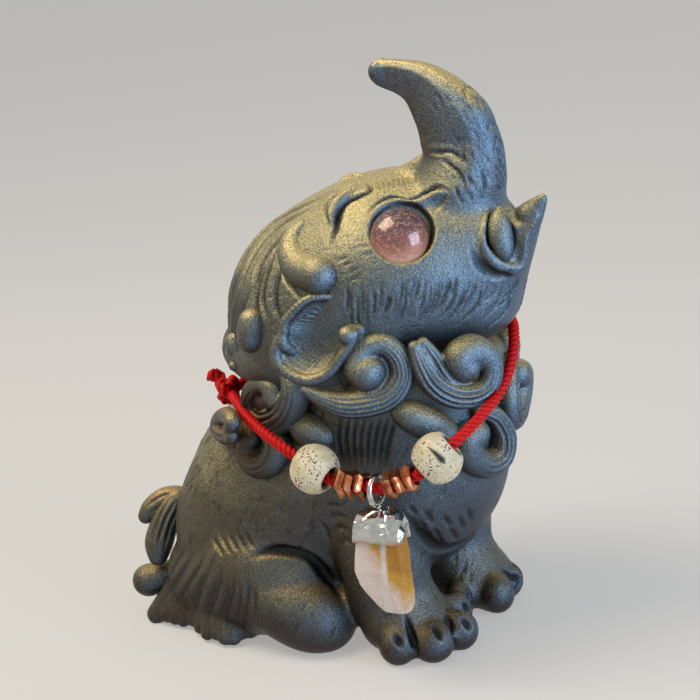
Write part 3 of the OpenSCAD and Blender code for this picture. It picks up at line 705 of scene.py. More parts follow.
# %% Torso, legs and haunches in one skin
RUMP = (0, 12.2, 19.8)
CHEST = (0, -9.8, 30)
NECK = (0, -9.05, 43.75)
torso = flow([(RUMP, (20, 20, 21)), ((0, 1.2, 26.9), (18.5, 18.5, 19)),
              (CHEST, (17, 17, 18)), (NECK, (17.5, 20, 11))], 14)
leg = flow([((-10, -8.8, 28), (6.3, 7.5, 7.5)), ((-10.6, -9.8, 18), 7.5), ((-10, -10.4, 9), 7),
            ((-10, -13.2, 4), (7.9, 7.9, 4.5))], 10)
haunch = flow([((-11.5, 26, 8.4), (6.8, 7.6, 8.7)), ((-14.1, 14.2, 11.8), (8.4, 9.5, 11.4)),
               ((-13.5, 6.9, 10.4), (7.6, 7.6, 9.1))], 10)
foot = flow([((-16.1, 16.7, 11.2), 5.5), ((-16.3, 8.6, 8.8), 6.5), ((-15.5, 2.7, 6), (6.8, 6.5, 6.5)),
             ((-14.9, -0.3, 4.4), (5.5, 4.7, 4.9))], 10)
loin = flow([((-6, 17, 22), 13.0), ((-6, 18.2, 17), 14.2), ((-6, 18.6, 13), 13.8)], 4)
bulk = press("body_bulk", torso + both(leg + haunch + foot + loin), 0.6, 10)
print("bulk points:", len(bulk.data.vertices))

# %% Toes and the fur lobes at the back of the haunches
BODY_VOXEL = 0.42
UPWARD = np.array((0, 0, 1.0))
TOE_TIPS = [(398, 645, 3.2), (433, 642, 3.6), (460, 630, 3.1), (459, 611, 2.3)]
TOE_ROOT = np.array((-10.4, -14.6, 3.6))
TOE_HEIGHT = 3.0
LEFT_TOE_SHIFT = (-1.0, 1.5, 0, 0, 0, 0)
FRINGE_TIPS = [(158, 615), (171, 620), (191, 624), (211, 637), (230, 641), (251, 634)]
FRINGE_FROM = np.array((-11.8, 29.0, 7.6))
FRINGE_TO = np.array((-15.4, 14.0, 7.6))
FRINGE_HEIGHT = 1.0
FRINGE_REACH = (1.0, 0.93, 0.98)
toes = []
for (_, _, fat), tip in zip(TOE_TIPS, on_plane(TOE_TIPS, UPWARD * TOE_HEIGHT, UPWARD)):
    back = TOE_ROOT + 0.2 * (tip - TOE_ROOT)
    toes += flow([(back, (fat + 0.4, fat + 0.4, 4.2)), (tip, (fat, fat, 3.4))], 8)
left_toes = [b * TWIN + LEFT_TOE_SHIFT for b in toes]
fringe = curve(FRINGE_TIPS, 9)
lobes = []
for k, tip in enumerate(on_plane(fringe, UPWARD * FRINGE_HEIGHT, UPWARD)):
    root = FRINGE_FROM + (FRINGE_TO - FRINGE_FROM) * k / (len(fringe) - 1)
    tip = root + (tip - root) * FRINGE_REACH[k % 3]
    middle = 0.45 * root + 0.55 * tip + (0, 0, 0.6)
    tip_r = 1.25 + 0.7 * max(0, 1 - k / 2)
    lobes += flow([(root, 4.2), (middle, 2.6), (tip + (0, 0, 0.3), tip_r)], 9)
body = press("body_clay", toes + left_toes + both(lobes), BODY_VOXEL, 5, [bulk])
body_tree = skin_tree(body)
print("body points:", len(body.data.vertices))

# %% Fur of the body, drawn over the picture and repeated on the left
FLANK_TUFTS = [[(214, 535), (217, 545), (224, 556)], [(221, 533), (225, 543), (232, 556)],
               [(229, 532), (233, 542), (240, 554)], [(237, 531), (241, 540), (247, 552)],
               [(245, 531), (249, 540), (254, 549)]]
HAUNCH_FUR = [[(209, 548), (197, 571), (184, 592), (173, 611)],
              [(216, 556), (206, 579), (197, 603), (192, 619)],
              [(224, 563), (219, 587), (211, 611), (206, 630)],
              [(235, 568), (233, 589), (228, 611), (225, 632)],
              [(246, 573), (248, 592), (246, 611), (241, 629)],
              [(197, 551), (184, 568), (173, 586), (163, 603)], [(187, 548), (176, 563), (169, 579)],
              [(212, 562), (201, 584), (190, 606)], [(219, 572), (212, 594), (203, 616)],
              [(229, 576), (226, 596), (219, 620)], [(240, 582), (240, 600), (236, 622)],
              [(203, 560), (191, 580), (179, 600)], [(192, 560), (181, 576), (172, 594)],
              [(253, 586), (255, 600), (254, 616)]]
LEG_CREASE = [(254, 556), (270, 551), (290, 552), (312, 560), (330, 580), (339, 596)]
SHOULDER = [[(323, 507), (333, 504), (345, 508)], [(326, 520), (337, 515), (350, 519)],
            [(330, 533), (340, 527), (352, 532)], [(336, 546), (345, 540), (356, 546)],
            [(318, 520), (326, 530), (330, 545)]]
CHEST_DASHES = [[(409, 506), (416, 515)], [(425, 510), (432, 523)], [(434, 528), (441, 541)],
                [(438, 536), (445, 549)], [(443, 515), (451, 527)], [(449, 527), (457, 540)],
                [(459, 516), (464, 530)], [(420, 520), (426, 532)], [(468, 508), (472, 522)]]
CHEST_EDGE = [(405, 514), (420, 532), (440, 548), (462, 543), (478, 530)]
NECK_STRANDS = [[(342 + 8 * k, 414), (338 + 7.4 * k, 438), (345 + 5.5 * k, 470)] for k in range(8)]
TOE_GROOVES = [[(405, 615), (411, 633), (417, 655)], [(445, 612), (451, 628), (456, 646)]]
NAIL_PITS = [[(394, 634), (402, 647)], [(433, 624), (442, 640)], [(462, 617), (471, 630)],
             [(464, 603), (471, 613)]]
strokes = drawn(body_tree, [(FLANK_TUFTS, 0.5, 0.32), (HAUNCH_FUR, 0.55, 0.32), ([LEG_CREASE], 1.3, 1.2),
                            (SHOULDER, 0.6, 0.3), (CHEST_DASHES, 0.6, 0.35), ([CHEST_EDGE], 1.5, 0.6),
                            (NECK_STRANDS, 0.6, 0.5), (TOE_GROOVES, 0.75, 1.0), (NAIL_PITS, 0.8, 0.8)])
print("strokes drawn on the body:", len(strokes))

# %% Short hairs all over the body
BODY_HAIRS = 760
draw = random.Random(7)


def fur_way(spot):
    """Body fur runs back and down from the neck."""
    return (-0.25 if spot.x < 0 else 0.25, 0.55, -1.0)


for _ in range(BODY_HAIRS):
    height = draw.uniform(6, 46)
    angle = draw.uniform(0, 2 * math.pi)
    start = (24 * math.cos(angle), 10 + 26 * math.sin(angle), height)
    long = draw.uniform(1.2, 3.4)
    hair = comb(body_tree, start, fur_way, long, draw.uniform(-0.5, 0.5), 5)
    strokes.append((hair, 0.4, draw.uniform(0.08, 0.24)))
carve(body, strokes)
points, _ = read_skin(body)
points[:, 2] = np.maximum(points[:, 2], 0)
write_skin(body, points)
print("body strokes:", len(strokes))

# %% [markdown]
# ## The head
# Skull, face, muzzle, trunk and lower jaw are pressed into one lump so that the trunk grows
# out of the brow without a seam. A rough lump comes first: the lids and the lip are then
# drawn over the picture, dropped on it and pressed in with the rest.

# %% Rough head
SKULL = (0, -1.3, 54.5)
FACE = (0, -12.8, 62)
MUZZLE = (0, -23.3, 63)
LIP = (0, -40.0, 73.5)
TRUNK_MARKS = [(468, 152, 6.4), (463.5, 138, 6.75), (457.5, 120.5, 6.4), (440.5, 98.5, 5.2), (421, 82, 3.8),
               (399, 74.5, 2.95), (383, 72, 2.3), (377.5, 69.5, 1.4)]
BRIDGE_MARKS = [(402, 181), (416, 174.5), (428, 167)]


def on_middle(spots):
    """Spots of the picture on the figure's middle plane."""
    return on_plane(spots, np.zeros(3), np.array((1.0, 0, 0)))


TRUNK = [((0, -21.5, 65), 10.5), ((0, -24.4, 71.5), 7.7)]
TRUNK += list(zip(on_middle(TRUNK_MARKS), [m[2] for m in TRUNK_MARKS]))
skull = flow([(SKULL, (20.5, 19, 18.5)), (FACE, (19, 18, 15.8)), (MUZZLE, (12.5, 10.5, 13.5)),
              ((0, -27.3, 66.4), (9, 7.5, 8.6))], 14)
skull += flow([((0, 1.2, 50), (19.8, 18.8, 9)), ((0, 0.8, 50.5), (19.8, 18.8, 9))], 2)
jaw = flow([((0, -25.8, 59), (9.5, 8, 8.5)), ((0, -29.8, 63), (6.6, 5.8, 6.5)),
            ((0, -34.3, 67.5), (3.8, 3.7, 4)), (LIP, (0.7, 0.8, 1.0))], 12)
trunk = flow(TRUNK, 16)
bridge = flow([(p, 2.5) for p in on_middle(BRIDGE_MARKS)], 6)
rough = press("rough_head", skull + jaw + trunk + bridge, 0.5, 16)
rough_tree = skin_tree(rough)
print("rough head points:", len(rough.data.vertices))

# %% Lids, lip and the final head
HEAD_VOXEL = 0.34
EYE = np.array((-12.7, -21.65, 70.35))
EYE_WAY = unit((-0.77, -0.50, 0.40))
EYE_R = 4.5
FAINT_TWIN = (-1, 1, 1, 0.5, 0.5, 0.5)
LIP_TWIN = (-0.9, 1, 1, 0.5, 0.5, 0.5)
LID = [(367, 224, 0.35), (374, 213, 0.55), (385, 205, 0.65), (399, 202, 0.7), (411, 204, 0.7),
       (420, 203, 0.8), (428, 199, 0.9), (436, 194, 0.7), (443, 190.5, 0.4)]
BROW_ROLL = [(365.6, 184, 0.4), (356, 188.5, 0.75), (347.8, 192.5, 0.85), (339, 200, 0.85),
             (333, 210, 0.75), (331, 222, 0.4)]
FAR_BROW = [(338, 183, 0.3), (346, 179, 0.7), (356, 176, 0.7), (364, 175, 0.3)]
LIP_ROLL = [(487, 214, 0.25), (484.5, 226, 0.4), (482.5, 242, 0.6), (488, 255, 0.9), (498, 263.5, 1.05),
            (510, 268, 1.0), (518, 266, 0.9), (522.5, 256, 0.75), (524, 242, 0.55), (529, 230, 0.4),
            (537, 216, 0.35)]


def drawn_roll(marks, lift=0.0):
    """A roll of clay along marks of (pixel x, pixel y, radius), on the rough head."""
    hits = [(meet(rough_tree, mark), mark[2]) for mark in marks]
    return flow([(np.array(hit) + lift * np.array(normal), radius)
                 for (hit, normal), radius in hits if hit is not None], 8)


def dent(lump, centre, radii):
    """Presses a round tool in: points inside the tool move out to its wall."""
    points, _ = read_skin(lump)
    offset = (points - np.array(centre)) / np.array(radii)
    size = np.linalg.norm(offset, axis=1)
    inside = size < 1
    points[inside] = np.array(centre) + offset[inside] / size[inside, None] * np.array(radii)
    write_skin(lump, points)


def drawn_dent(spot, lift, radii):
    """Presses a tool into the rough head at a spot of the picture, on both sides."""
    hit, normal = meet(rough_tree, spot)
    centre = np.array(hit) + lift * np.array(normal)
    for flip in ((1, 1, 1), (-1, 1, 1)):
        dent(rough, centre * flip, radii)
    return np.array(hit)


lids = drawn_roll(LID)
brows = drawn_roll(BROW_ROLL, -0.1)
brows += [b * FAINT_TWIN for b in brows] + drawn_roll(FAR_BROW)
lip_roll = drawn_roll(LIP_ROLL, 0.25)
lip_roll += [b * LIP_TWIN for b in lip_roll[16:36]]
TUSK = drawn_dent((499, 234), 0.6, (2.3, 2.6, 4.6))
drawn_dent((521, 212), 0.8, (2.0, 2.9, 2.3))
tips = trunk[-30:] + jaw[-7:]
head = press("head_clay", tips + both(lids) + brows + lip_roll, HEAD_VOXEL, 4, [rough])
print("head points:", len(head.data.vertices))

# %% Eye sockets
SOCKET_R = 5.0
SOCKET_UP = 0.75
SOCKET_RIGHT = 0.4
SOCKET_DEPTH = 1.7
SOCKET_WALL = 0.5
SOCKET_TOP = 8
rise_way, side_way = [unit(axis - EYE_WAY * np.dot(axis, EYE_WAY)) for axis in (up, right)]
socket = EYE + SOCKET_UP * rise_way + SOCKET_RIGHT * side_way
points, _ = read_skin(head)
for side in (1, -1):
    flip = np.array((side, 1, 1))
    way = EYE_WAY * flip
    offset = points - socket * flip
    height = offset @ way
    across = np.linalg.norm(offset - height[:, None] * way, axis=1)
    sunk = (across < SOCKET_R) & (height > -SOCKET_DEPTH) & (height < SOCKET_TOP)
    depth = np.clip((SOCKET_R - across) / SOCKET_WALL, 0, 1)
    points[sunk] -= ((height + SOCKET_DEPTH) * depth)[sunk, None] * way
    print("points sunk in a socket:", int(sunk.sum()))

# %% The trunk's flat sides and narrow crest, as shares of its radius
BLADE_FADE = 7
BLADE_TIP = 36
BLADE_REACH = 1.3
LEAST_R = 2.4
SIDE_AT = 0.45
SIDE_IN = 0.8
CREST_PINCH = 0.6
CREST_AT = 0.76
CREST_IN = 0.65
FORWARD = (0, -1, 0.6)
spine = np.array([b[:4] for b in flow(TRUNK, 24)])
tree = point_tree(spine[:, :3] * (0, 1, 1))
ways = np.gradient(spine[:, :3], axis=0)
for point in points:
    if point[2] < TRUNK_FROM:
        continue
    _, i, away = tree.find((0, point[1], point[2]))
    radius = spine[i, 3]
    if away > BLADE_REACH * max(LEAST_R, radius):
        continue
    out = np.cross((1, 0, 0), unit(ways[i]))
    out = out if np.dot(out, FORWARD) > 0 else -out
    share = np.dot(point - spine[i, :3], out) / radius
    fade = min(1, (point[2] - TRUNK_FROM) / BLADE_FADE, (len(spine) - i) / BLADE_TIP)
    wide = abs(point[0]) - SIDE_AT * radius
    if wide > 0:
        point[0] -= math.copysign(SIDE_IN * fade * wide, point[0])
    point[0] *= 1 - CREST_PINCH * fade * min(1, max(0, 2 * share - 1))
    if share > CREST_AT:
        point -= out * CREST_IN * fade * (share - CREST_AT) * radius
write_skin(head, points)
smooth(head, 2)
head_tree = skin_tree(head)
print("trunk from", TRUNK_FROM, "mm up to", round(points[:, 2].max(), 1), "mm")

# %% Wrinkles, brows and hair, drawn over the picture
LID_CREASE = [(366, 214), (375, 205), (387, 198), (399, 197.5), (414, 199), (424.5, 193.5), (434, 188),
              (441, 187.5), (450.5, 192)]
LID_FOLD = [(446, 193), (441, 203), (431, 212)]
BROW_GROOVE = [(370, 183.5), (369, 191), (356.7, 197), (345.5, 203.6), (338.8, 214.7), (335.5, 228),
               (330, 245)]
BROW_RIDGE = [(365.6, 185.7), (347.8, 193.5), (334.4, 205.8), (331, 219), (333, 230)]
BROW_CREASE = [(364.5, 182), (347.8, 187), (327.7, 200), (325.4, 212.5), (331, 228)]
HAIR = [[(312, 208), (285, 222), (262, 243), (247, 268), (238, 296)],
        [(300, 222), (278, 240), (262, 262), (254, 285), (250, 305)],
        [(290, 212), (266, 228), (246, 252), (236, 278)], [(276, 250), (266, 275), (262, 300), (268, 320)],
        [(284, 262), (276, 285), (276, 308), (284, 325)], [(256, 240), (242, 262), (232, 290), (229, 315)],
        [(325, 196), (298, 208), (272, 224), (252, 244), (240, 262)],
        [(268, 262), (258, 285), (256, 308), (262, 330)]]
CURL_EDGE = [(297.5, 227), (286.4, 238), (282, 250), (283, 265), (287.5, 279.5), (296.4, 294), (305, 299.5)]
SCRATCHES = [[(337, 262), (348, 256)], [(342, 267), (351, 262)], [(343, 277), (361, 266)],
             [(345.5, 284), (364.5, 270.5)]]
TRUNK_FOLDS = [[(427, 152), (440, 153), (450.5, 152), (460, 159), (466, 166)],
               [(441, 159), (450.5, 166), (460, 174.5), (464.7, 186), (463.5, 193)],
               [(467, 175.7), (471.7, 184)], [(462, 152), (464.7, 165)],
               [(480, 168.6), (484.7, 181.6), (484.7, 194.6)], [(456, 187.5), (457.6, 197)]]
HATCH = [[(494, 164), (503.6, 178)], [(497.7, 156.8), (503.6, 168.6)], [(495, 145), (502.4, 155.6)],
         [(495, 133), (503, 145)], [(490.6, 121.4), (497.7, 127)], [(495, 185), (502.4, 191)],
         [(494, 172), (502.4, 186)]]
FOREHEAD = [[(378 + 5 * k, 180 - k), (380 + 5 * k, 191 - k)] for k in range(8)]
UNDER_LIP = [(470, 248), (476, 260), (486, 270), (500, 275), (515, 271)]
LIP_DIMPLES = []
for _ in range(16):
    x = draw.uniform(474, 514)
    y = np.interp(x, [p[0] for p in UNDER_LIP], [p[1] for p in UNDER_LIP])
    LIP_DIMPLES.append([(x, y + draw.uniform(-3, 4)), (x + 2.5, y + draw.uniform(-2, 5))])
TRUNK_HAIRS = []
for _ in range(34):
    y = draw.uniform(84, 196)
    x = draw.uniform(448, 488) if y > 110 else draw.uniform(430, 476)
    long = draw.uniform(8, 17)
    TRUNK_HAIRS.append([(x, y), (x + 0.30 * long, y + 0.5 * long), (x + 0.45 * long, y + long)])
CHEEK_FUR = []
for k in range(44):
    x = 348 + 3.9 * k + draw.uniform(-1.6, 1.6)
    y = 288 - 6 * k / 43 + draw.uniform(-9, 8)
    long = draw.uniform(20, 46)
    lean = -(x - 350) / 150 * 0.55 * long + draw.uniform(-3, 3)
    CHEEK_FUR.append([(x, y), (x + 0.1 * lean, y + 0.5 * long), (x + lean, y + long)])
groups = [([LID_CREASE], 0.62, 0.75), ([LID_FOLD], 0.5, 0.22), ([BROW_GROOVE], 0.75, 1.0),
          ([BROW_RIDGE], 1.2, -0.6), ([BROW_CREASE], 0.5, 0.3), ([CURL_EDGE], 0.8, 0.6),
          ([UNDER_LIP], 1.0, 0.45), (LIP_DIMPLES, 0.4, 0.3), (TRUNK_HAIRS, 0.36, 0.16), (HAIR, 0.9, 0.4),
          (SCRATCHES, 0.38, 0.22), (TRUNK_FOLDS, 0.42, 0.38), (HATCH, 0.36, 0.24), (FOREHEAD, 0.4, 0.2)]
groups += [([fur], 0.34, draw.uniform(0.14, 0.42)) for fur in CHEEK_FUR]
strokes = drawn(head_tree, groups)
print("strokes drawn on the head:", len(strokes))

# %% Short fur of the face and long hair of the nape
FACE_HAIRS = 420
NAPE_HAIRS = 46


def hair_way(spot):
    """Hair at the back of the head runs from the crown down to the nape."""
    return (0.15 * spot.x / 20, 0.5, -1.0)


def face_way(spot):
    """Short fur of the face runs back from the muzzle."""
    return (spot.x / 30, (spot.y + 36) / 30, (spot.z - 68) / 30)


for _ in range(FACE_HAIRS):
    start = (26 * draw.choice((-1, 1)), draw.uniform(-34, 6), draw.uniform(48, 84))
    long = draw.uniform(1.0, 2.6)
    hair = comb(head_tree, start, face_way, long, draw.uniform(-0.4, 0.4), 5)
    strokes.append((hair, 0.3, draw.uniform(0.04, 0.12)))
for k in range(NAPE_HAIRS):
    angle = math.pi * (k + 0.5) / NAPE_HAIRS
    start = (21 * math.cos(angle), 4 + 18 * math.sin(angle), draw.uniform(62, 70))
    hair = comb(head_tree, start, hair_way, draw.uniform(12, 18), draw.uniform(-0.4, 0.4), 9)
    strokes.append((hair, 0.9, 0.3))
carve(head, strokes)
print("head strokes:", len(strokes))

# %% Finish the two large lumps
finish_clay(body, "torso", "front_leg_left", "front_leg_right", "haunch_left", "haunch_right",
            "hind_foot_left", "hind_foot_right")
finish_clay(head, "head", "trunk", "lower_jaw", "eyelid_left", "eyelid_right", "brow_ridge_left",
            "brow_ridge_right")

# %% [markdown]
# ## Curls and locks
# Every curl of the mane was rolled on its own and laid on: a strand that winds in and swells
# towards its centre. The path is drawn over the picture and dropped on a plane that faces the
# way the curl faces; comb lines then run along the strand. A bevelled curve with a taper would
# roll up too, but it can't fuse with itself and with its backing, as pressed balls do.

# %% Rolled locks
LOCK_VOXEL = 0.2
LOCK_STEPS = 8


def rolled(name, marks, anchor, way, rise=0.0, more=()):
    """A lock along marks of (pixel x, pixel y, radius) on a plane; returns it and its balls."""
    normal = unit(way)
    spots = on_plane(marks, np.array(anchor), normal)
    stations = [(spot + normal * rise * k / (len(marks) - 1), mark[2])
                for k, (spot, mark) in enumerate(zip(spots, marks))]
    balls = flow(stations, LOCK_STEPS)
    return press(name, balls + list(more), LOCK_VOXEL, 3), np.array(balls)


def comb_lines(lump, balls, way, shares, width, depth, start=0.0, end=1.0):
    """Comb lines along a lock, one for each share of its half width."""
    normal = unit(way)
    part = balls[int(start * len(balls)):max(2, int(end * len(balls)))]
    path, sizes = part[:, :3], part[:, 3:4]
    side = np.cross(normal, np.gradient(path, axis=0))
    side /= np.linalg.norm(side, axis=1)[:, None]
    carve(lump, [(path + sizes * (s * side + math.sqrt(1 - s * s) * normal), width, depth) for s in shares])


def lock_pair(stem, marks, anchor, way, rise, combed=None, shift=(0, 0, 0), more=()):
    """A rolled lock and its left twin, with comb lines of (shares, half width, depth, start, end)."""
    lock, balls = rolled(stem + "_right_clay", marks, anchor, way, rise, more)
    if combed:
        comb_lines(lock, balls, way, *combed)
    clay_pair(lock, stem, shift)


def pressed_pair(stem, marks, way, steps, rounds):
    """A lock on the head's skin and its left twin; each mark also has a lift along a way."""
    spots = [(touch(head_tree, mark[:2]) + mark[3] * unit(way), mark[2]) for mark in marks]
    clay_pair(press(stem + "_right_clay", flow(spots, steps), LOCK_VOXEL, rounds), stem)


# %% Brow curl, a comma of clay on the temple
BROW_CURL = [(301, 226, 1.2, -0.7), (292, 240, 2.2, -1.2), (291, 255, 2.7, -1.4), (300, 268, 2.9, -1.0),
             (319, 276, 3.1, 0.1)]
pressed_pair("brow_curl", BROW_CURL, (-0.85, -0.2, 0.45), 10, 4)

# %% Cheek curl
CHEEK_CURL = [(306, 390, 0.9), (325, 399, 1.6), (345, 404, 2.2), (368, 402, 2.4), (390, 394, 2.3),
              (402, 376, 2.0), (398, 356, 1.9), (384, 344, 1.8), (369, 346, 1.9), (358, 357, 2.2),
              (359, 368, 2.6), (367, 371, 3.0)]
backing = flow([((-14.6, -15.6, 50.2), 4.4), ((-14.6, -14.0, 49.0), 4.6)], 3)
lock_pair("cheek_curl", CHEEK_CURL, (-17.3, -16.9, 49.7), (-0.82, -0.5, 0.1), 1.0,
          ((-0.6, -0.25, 0.1, 0.45), 0.36, 0.2, 0.05, 0.7), more=backing)

# %% Jaw curl with its sweeping strand
JAW_CURL = [(414, 347, 1.0), (421, 365, 1.6), (432, 383, 2.0), (450, 394, 2.1), (470, 395, 2.0),
            (485, 386, 1.9), (490, 371, 1.9), (485, 357, 2.2), (470, 350, 2.7), (458, 357, 2.8),
            (462, 365, 2.6)]
JAW_SWEEP = [(423, 343, 1.0), (433, 358, 1.5), (444, 376, 1.6), (456, 385, 1.5), (468, 386, 1.2)]
JAW_AT = np.array((-9.6, -28.3, 48.5))
JAW_WAY = unit((-0.6, -0.79, 0.08))
JAW_SHIFT = (3.4, 6.4, -4.4)
inner = flow(list(zip(on_plane(JAW_SWEEP, JAW_AT, JAW_WAY), [m[2] for m in JAW_SWEEP])), LOCK_STEPS)
jaw_curl, balls = rolled("jaw_curl_right_clay", JAW_CURL, JAW_AT, JAW_WAY, 1.0, inner)
comb_lines(jaw_curl, balls, JAW_WAY, (-0.6, -0.15, 0.3), 0.38, 0.32, 0.0, 0.62)
comb_lines(jaw_curl, np.array(inner), JAW_WAY, (-0.3, 0.4), 0.38, 0.3)
clay_pair(jaw_curl, "jaw_curl", JAW_SHIFT)

# %% Chest curl and front lock
CHEST_CURL = [(478, 410, 1.2), (494, 416, 1.6), (503, 434, 2.0), (499, 455, 2.2), (484, 463, 2.4),
              (468, 455, 2.6), (464, 440, 2.6), (472, 432, 2.4)]
FRONT_LOCK = [(400, 412, 1.6), (412, 416, 2.6), (430, 424, 2.8), (444, 430, 2.2)]
lock_pair("chest_curl", CHEST_CURL, (-5, -28.2, 35.35), (-0.35, -0.9, -0.1), 0.8,
          ((-0.5, 0.0, 0.45), 0.4, 0.25, 0.0, 0.7), (0, 0.3, 5))
lock_pair("front_lock", FRONT_LOCK, (-13.8, -22.85, 41.55), (-0.75, -0.65, 0), 0.4, shift=(1.5, 3, -4.5))

# %% Side and rear locks
SIDE_LOCK = [(303, 426, 2.4), (312, 431, 2.9), (322, 436, 2.6)]
REAR_CURL = [(290, 372, 1.8), (296, 392, 2.4), (288, 413, 2.6), (271, 420, 2.6), (259, 410, 2.4),
             (257, 394, 2.3), (265, 384, 2.0), (275, 386, 2.0), (279, 398, 2.2)]
REAR_LOCK = [(268, 428, 1.8), (278, 445, 2.2), (272, 462, 2.4), (258, 464, 2.4), (250, 450, 2.2),
             (255, 437, 1.9)]
lock_pair("side_lock", SIDE_LOCK, (-16.6, -4.65, 38.35), (-0.95, -0.2, -0.1), 0.2)
backing = flow([((-14.6, 3.6, 45), 3.4), ((-14.6, 4.8, 43), 3.6)], 3)
lock_pair("rear_curl", REAR_CURL, (-16.4, 4.2, 43.9), (-0.9, 0.3, 0), 0.6,
          ((-0.6, -0.2, 0.25, 0.6), 0.36, 0.3, 0.0, 0.75), more=backing)
lock_pair("rear_lock", REAR_LOCK, (-16.5, 6.35, 35.75), (-0.9, 0.35, 0.1), 0.3,
          ((-0.4, 0.2), 0.36, 0.25, 0.0, 0.7))

# %% Nape knob and the two bumps behind the ear
NAPE_KNOB = [(232, 437, 1.1), (224.5, 436, 1.4), (219.5, 428.5, 1.5), (221, 419, 1.45),
             (228.5, 415.5, 1.45), (233.5, 422, 1.35), (231, 430, 1.2)]
NAPE_BUMPS = [(251, 322, 2.2, 0.2), (251, 331, 2.5, 0.3), (249, 340, 2.1, 0.3), (241, 346, 1.0, 2.6),
              (232, 340, 1.3, 0.7), (231, 348, 1.4, 0.7), (231, 358, 0.7, 1.4), (233, 366, 0.9, 0.2)]
backing = flow([((-12.0, 17.0, 36.6), 2.6), ((-12.2, 17.2, 37.1), 2.6)], 2)
lock_pair("nape_knob", NAPE_KNOB, (-13.2, 18.2, 36.9), (-0.7, 0.7, 0.2), 0.2,
          ((0.0,), 0.4, 0.35, 0.0, 0.5), more=backing)
pressed_pair("nape_lock", NAPE_BUMPS, (0.9, -0.35, -0.2), 8, 3)

# %% [markdown]
# ## The ears
# Each ear is a thin leaf of clay, dished and combed inside, with a rolled rim that folds over
# at the back and a small ball at its root. A sheet with Solidify would have a sharp edge all
# round; rows of small balls give leaf, rim and fold in one lump.

# %% Ear leaf
EAR = np.array((-21.9, -8.7, 54.9))
EAR_WAY = unit((-0.97, -0.2, 0.1))
EAR_DISH = 2.6
EAR_TUCK = 2.4
TUCKED = 10
LEAF_R = 0.7
BACK_R = 1.1
BACK_AT = 1.2
RIM_LIFT = 0.35
DISH_SHADE = 0.13
EAR_RIM = [(331, 299), (309, 299), (288, 319), (284, 333), (277, 348), (279, 363), (293, 375), (311, 380),
           (329, 373), (342, 357), (352, 343), (356, 333)]
EAR_ROOT = (338, 330)
EAR_KNOB = (348, 335)
EAR_FOLD = [(284, 333), (284, 343), (290, 352)]
root, knob = on_plane([EAR_ROOT, EAR_KNOB], EAR, EAR_WAY)
knob = knob + EAR_WAY * 0.3
fold = on_plane(EAR_FOLD, EAR, EAR_WAY)
edge = np.array([b[:3] for b in flow([(p, 0) for p in on_plane(EAR_RIM, EAR, EAR_WAY)], 7)])
for k in range(TUCKED):
    edge[k] -= EAR_WAY * EAR_TUCK * (1 - k / TUCKED) ** 2


def ear_ball(spot, radius):
    """A ball of the ear's leaf."""
    return np.array(list(spot) + [radius] * 3)


def in_dish(spot, t):
    """A place in the dish, a share t of the way from the root to a spot of the rim."""
    return root + (spot - root) * t - EAR_WAY * EAR_DISH * (1 - t ** 3)


leaf = []
for k, spot in enumerate(edge):
    for t in np.linspace(0.10, 0.94, 12):
        dip = in_dish(spot, t)
        leaf += [ear_ball(dip, LEAF_R), ear_ball(dip - EAR_WAY * BACK_AT, BACK_R)]
    swell = 0.45 + 0.5 * math.sqrt(math.sin(math.pi * k / (len(edge) - 1)))
    leaf.append(ear_ball(spot + EAR_WAY * RIM_LIFT, swell))
leaf += flow([(knob, 1.5), (knob - EAR_WAY * 1.6, 1.5)], 3)
leaf += flow([(fold[0] + EAR_WAY * 0.3, 0.7), (fold[1] + EAR_WAY * 0.4, 1.0),
              (fold[2] - EAR_WAY * 0.8, 0.8)], 6)
ear = press("ear_right_clay", leaf, LOCK_VOXEL, 4)
lines = [[in_dish(spot, t) + EAR_WAY * 0.6 for t in (0.4, 0.62, 0.84)] for spot in edge[5:-4:2]]
carve(ear, [(line, 0.3, 0.2) for line in lines])
points, normals = read_skin(ear)
# The dish is painted darker as shade, through the same store as the cuts.
deepen(ear, DISH_SHADE * np.clip(-(points - EAR) @ EAR_WAY - 0.4, 0, 2) * (normals @ EAR_WAY > 0.2))
clay_pair(ear, "ear")

# %% [markdown]
# ## Tusks and tail
# The tusk is an almond that stands in a pocket of the lip. The tail is three rolled lobes.
# Both are made as the locks are, because they were rolled from the same clay.

# %% Tusks
TUSK_MARKS = [(506, 257, 0.8), (503, 248, 1.7), (500, 236, 2.05), (499, 223, 1.7), (499.5, 209, 0.55)]
TUSK_SHIFT = (-0.2, 1.2, -2.2)
stations = list(zip(on_plane(TUSK_MARKS, TUSK, toward), [m[2] for m in TUSK_MARKS]))
clay_pair(press("tusk_right_clay", flow(stations, 8), 0.16, 3), "tusk", TUSK_SHIFT)

# %% Tail
TAIL = np.array((-11, 33.2, 15.8))
TAIL_CURL = [(188, 500, 2.0), (177, 499, 2.4), (165, 501, 2.4), (153, 508, 2.0), (146, 516, 1.4)]
TAIL_LOCK = [(177, 500, 2.2), (169, 513, 2.4), (163, 528, 2.5), (159, 543, 2.5), (158, 556, 1.7)]
TAIL_BALL = [(178, 572, 2.4), (163, 576, 2.8), (149, 580, 2.9)]
for name, marks, anchor, combed in (
        ("tail_curl", TAIL_CURL, TAIL + (0.4, 1.2, 0), ((-0.45, 0.25), 0.45, 0.25, 0.1, 0.9)),
        ("tail_lock", TAIL_LOCK, TAIL, ((-0.5, 0.0, 0.5), 0.45, 0.3, 0.0, 0.85)),
        ("tail_ball", TAIL_BALL, (-13, 37.6, 6.4), None)):
    lobe, balls = rolled(name + "_clay", marks, anchor, toward)
    if combed:
        comb_lines(lobe, balls, toward, *combed)
    finish_clay(lobe, name)

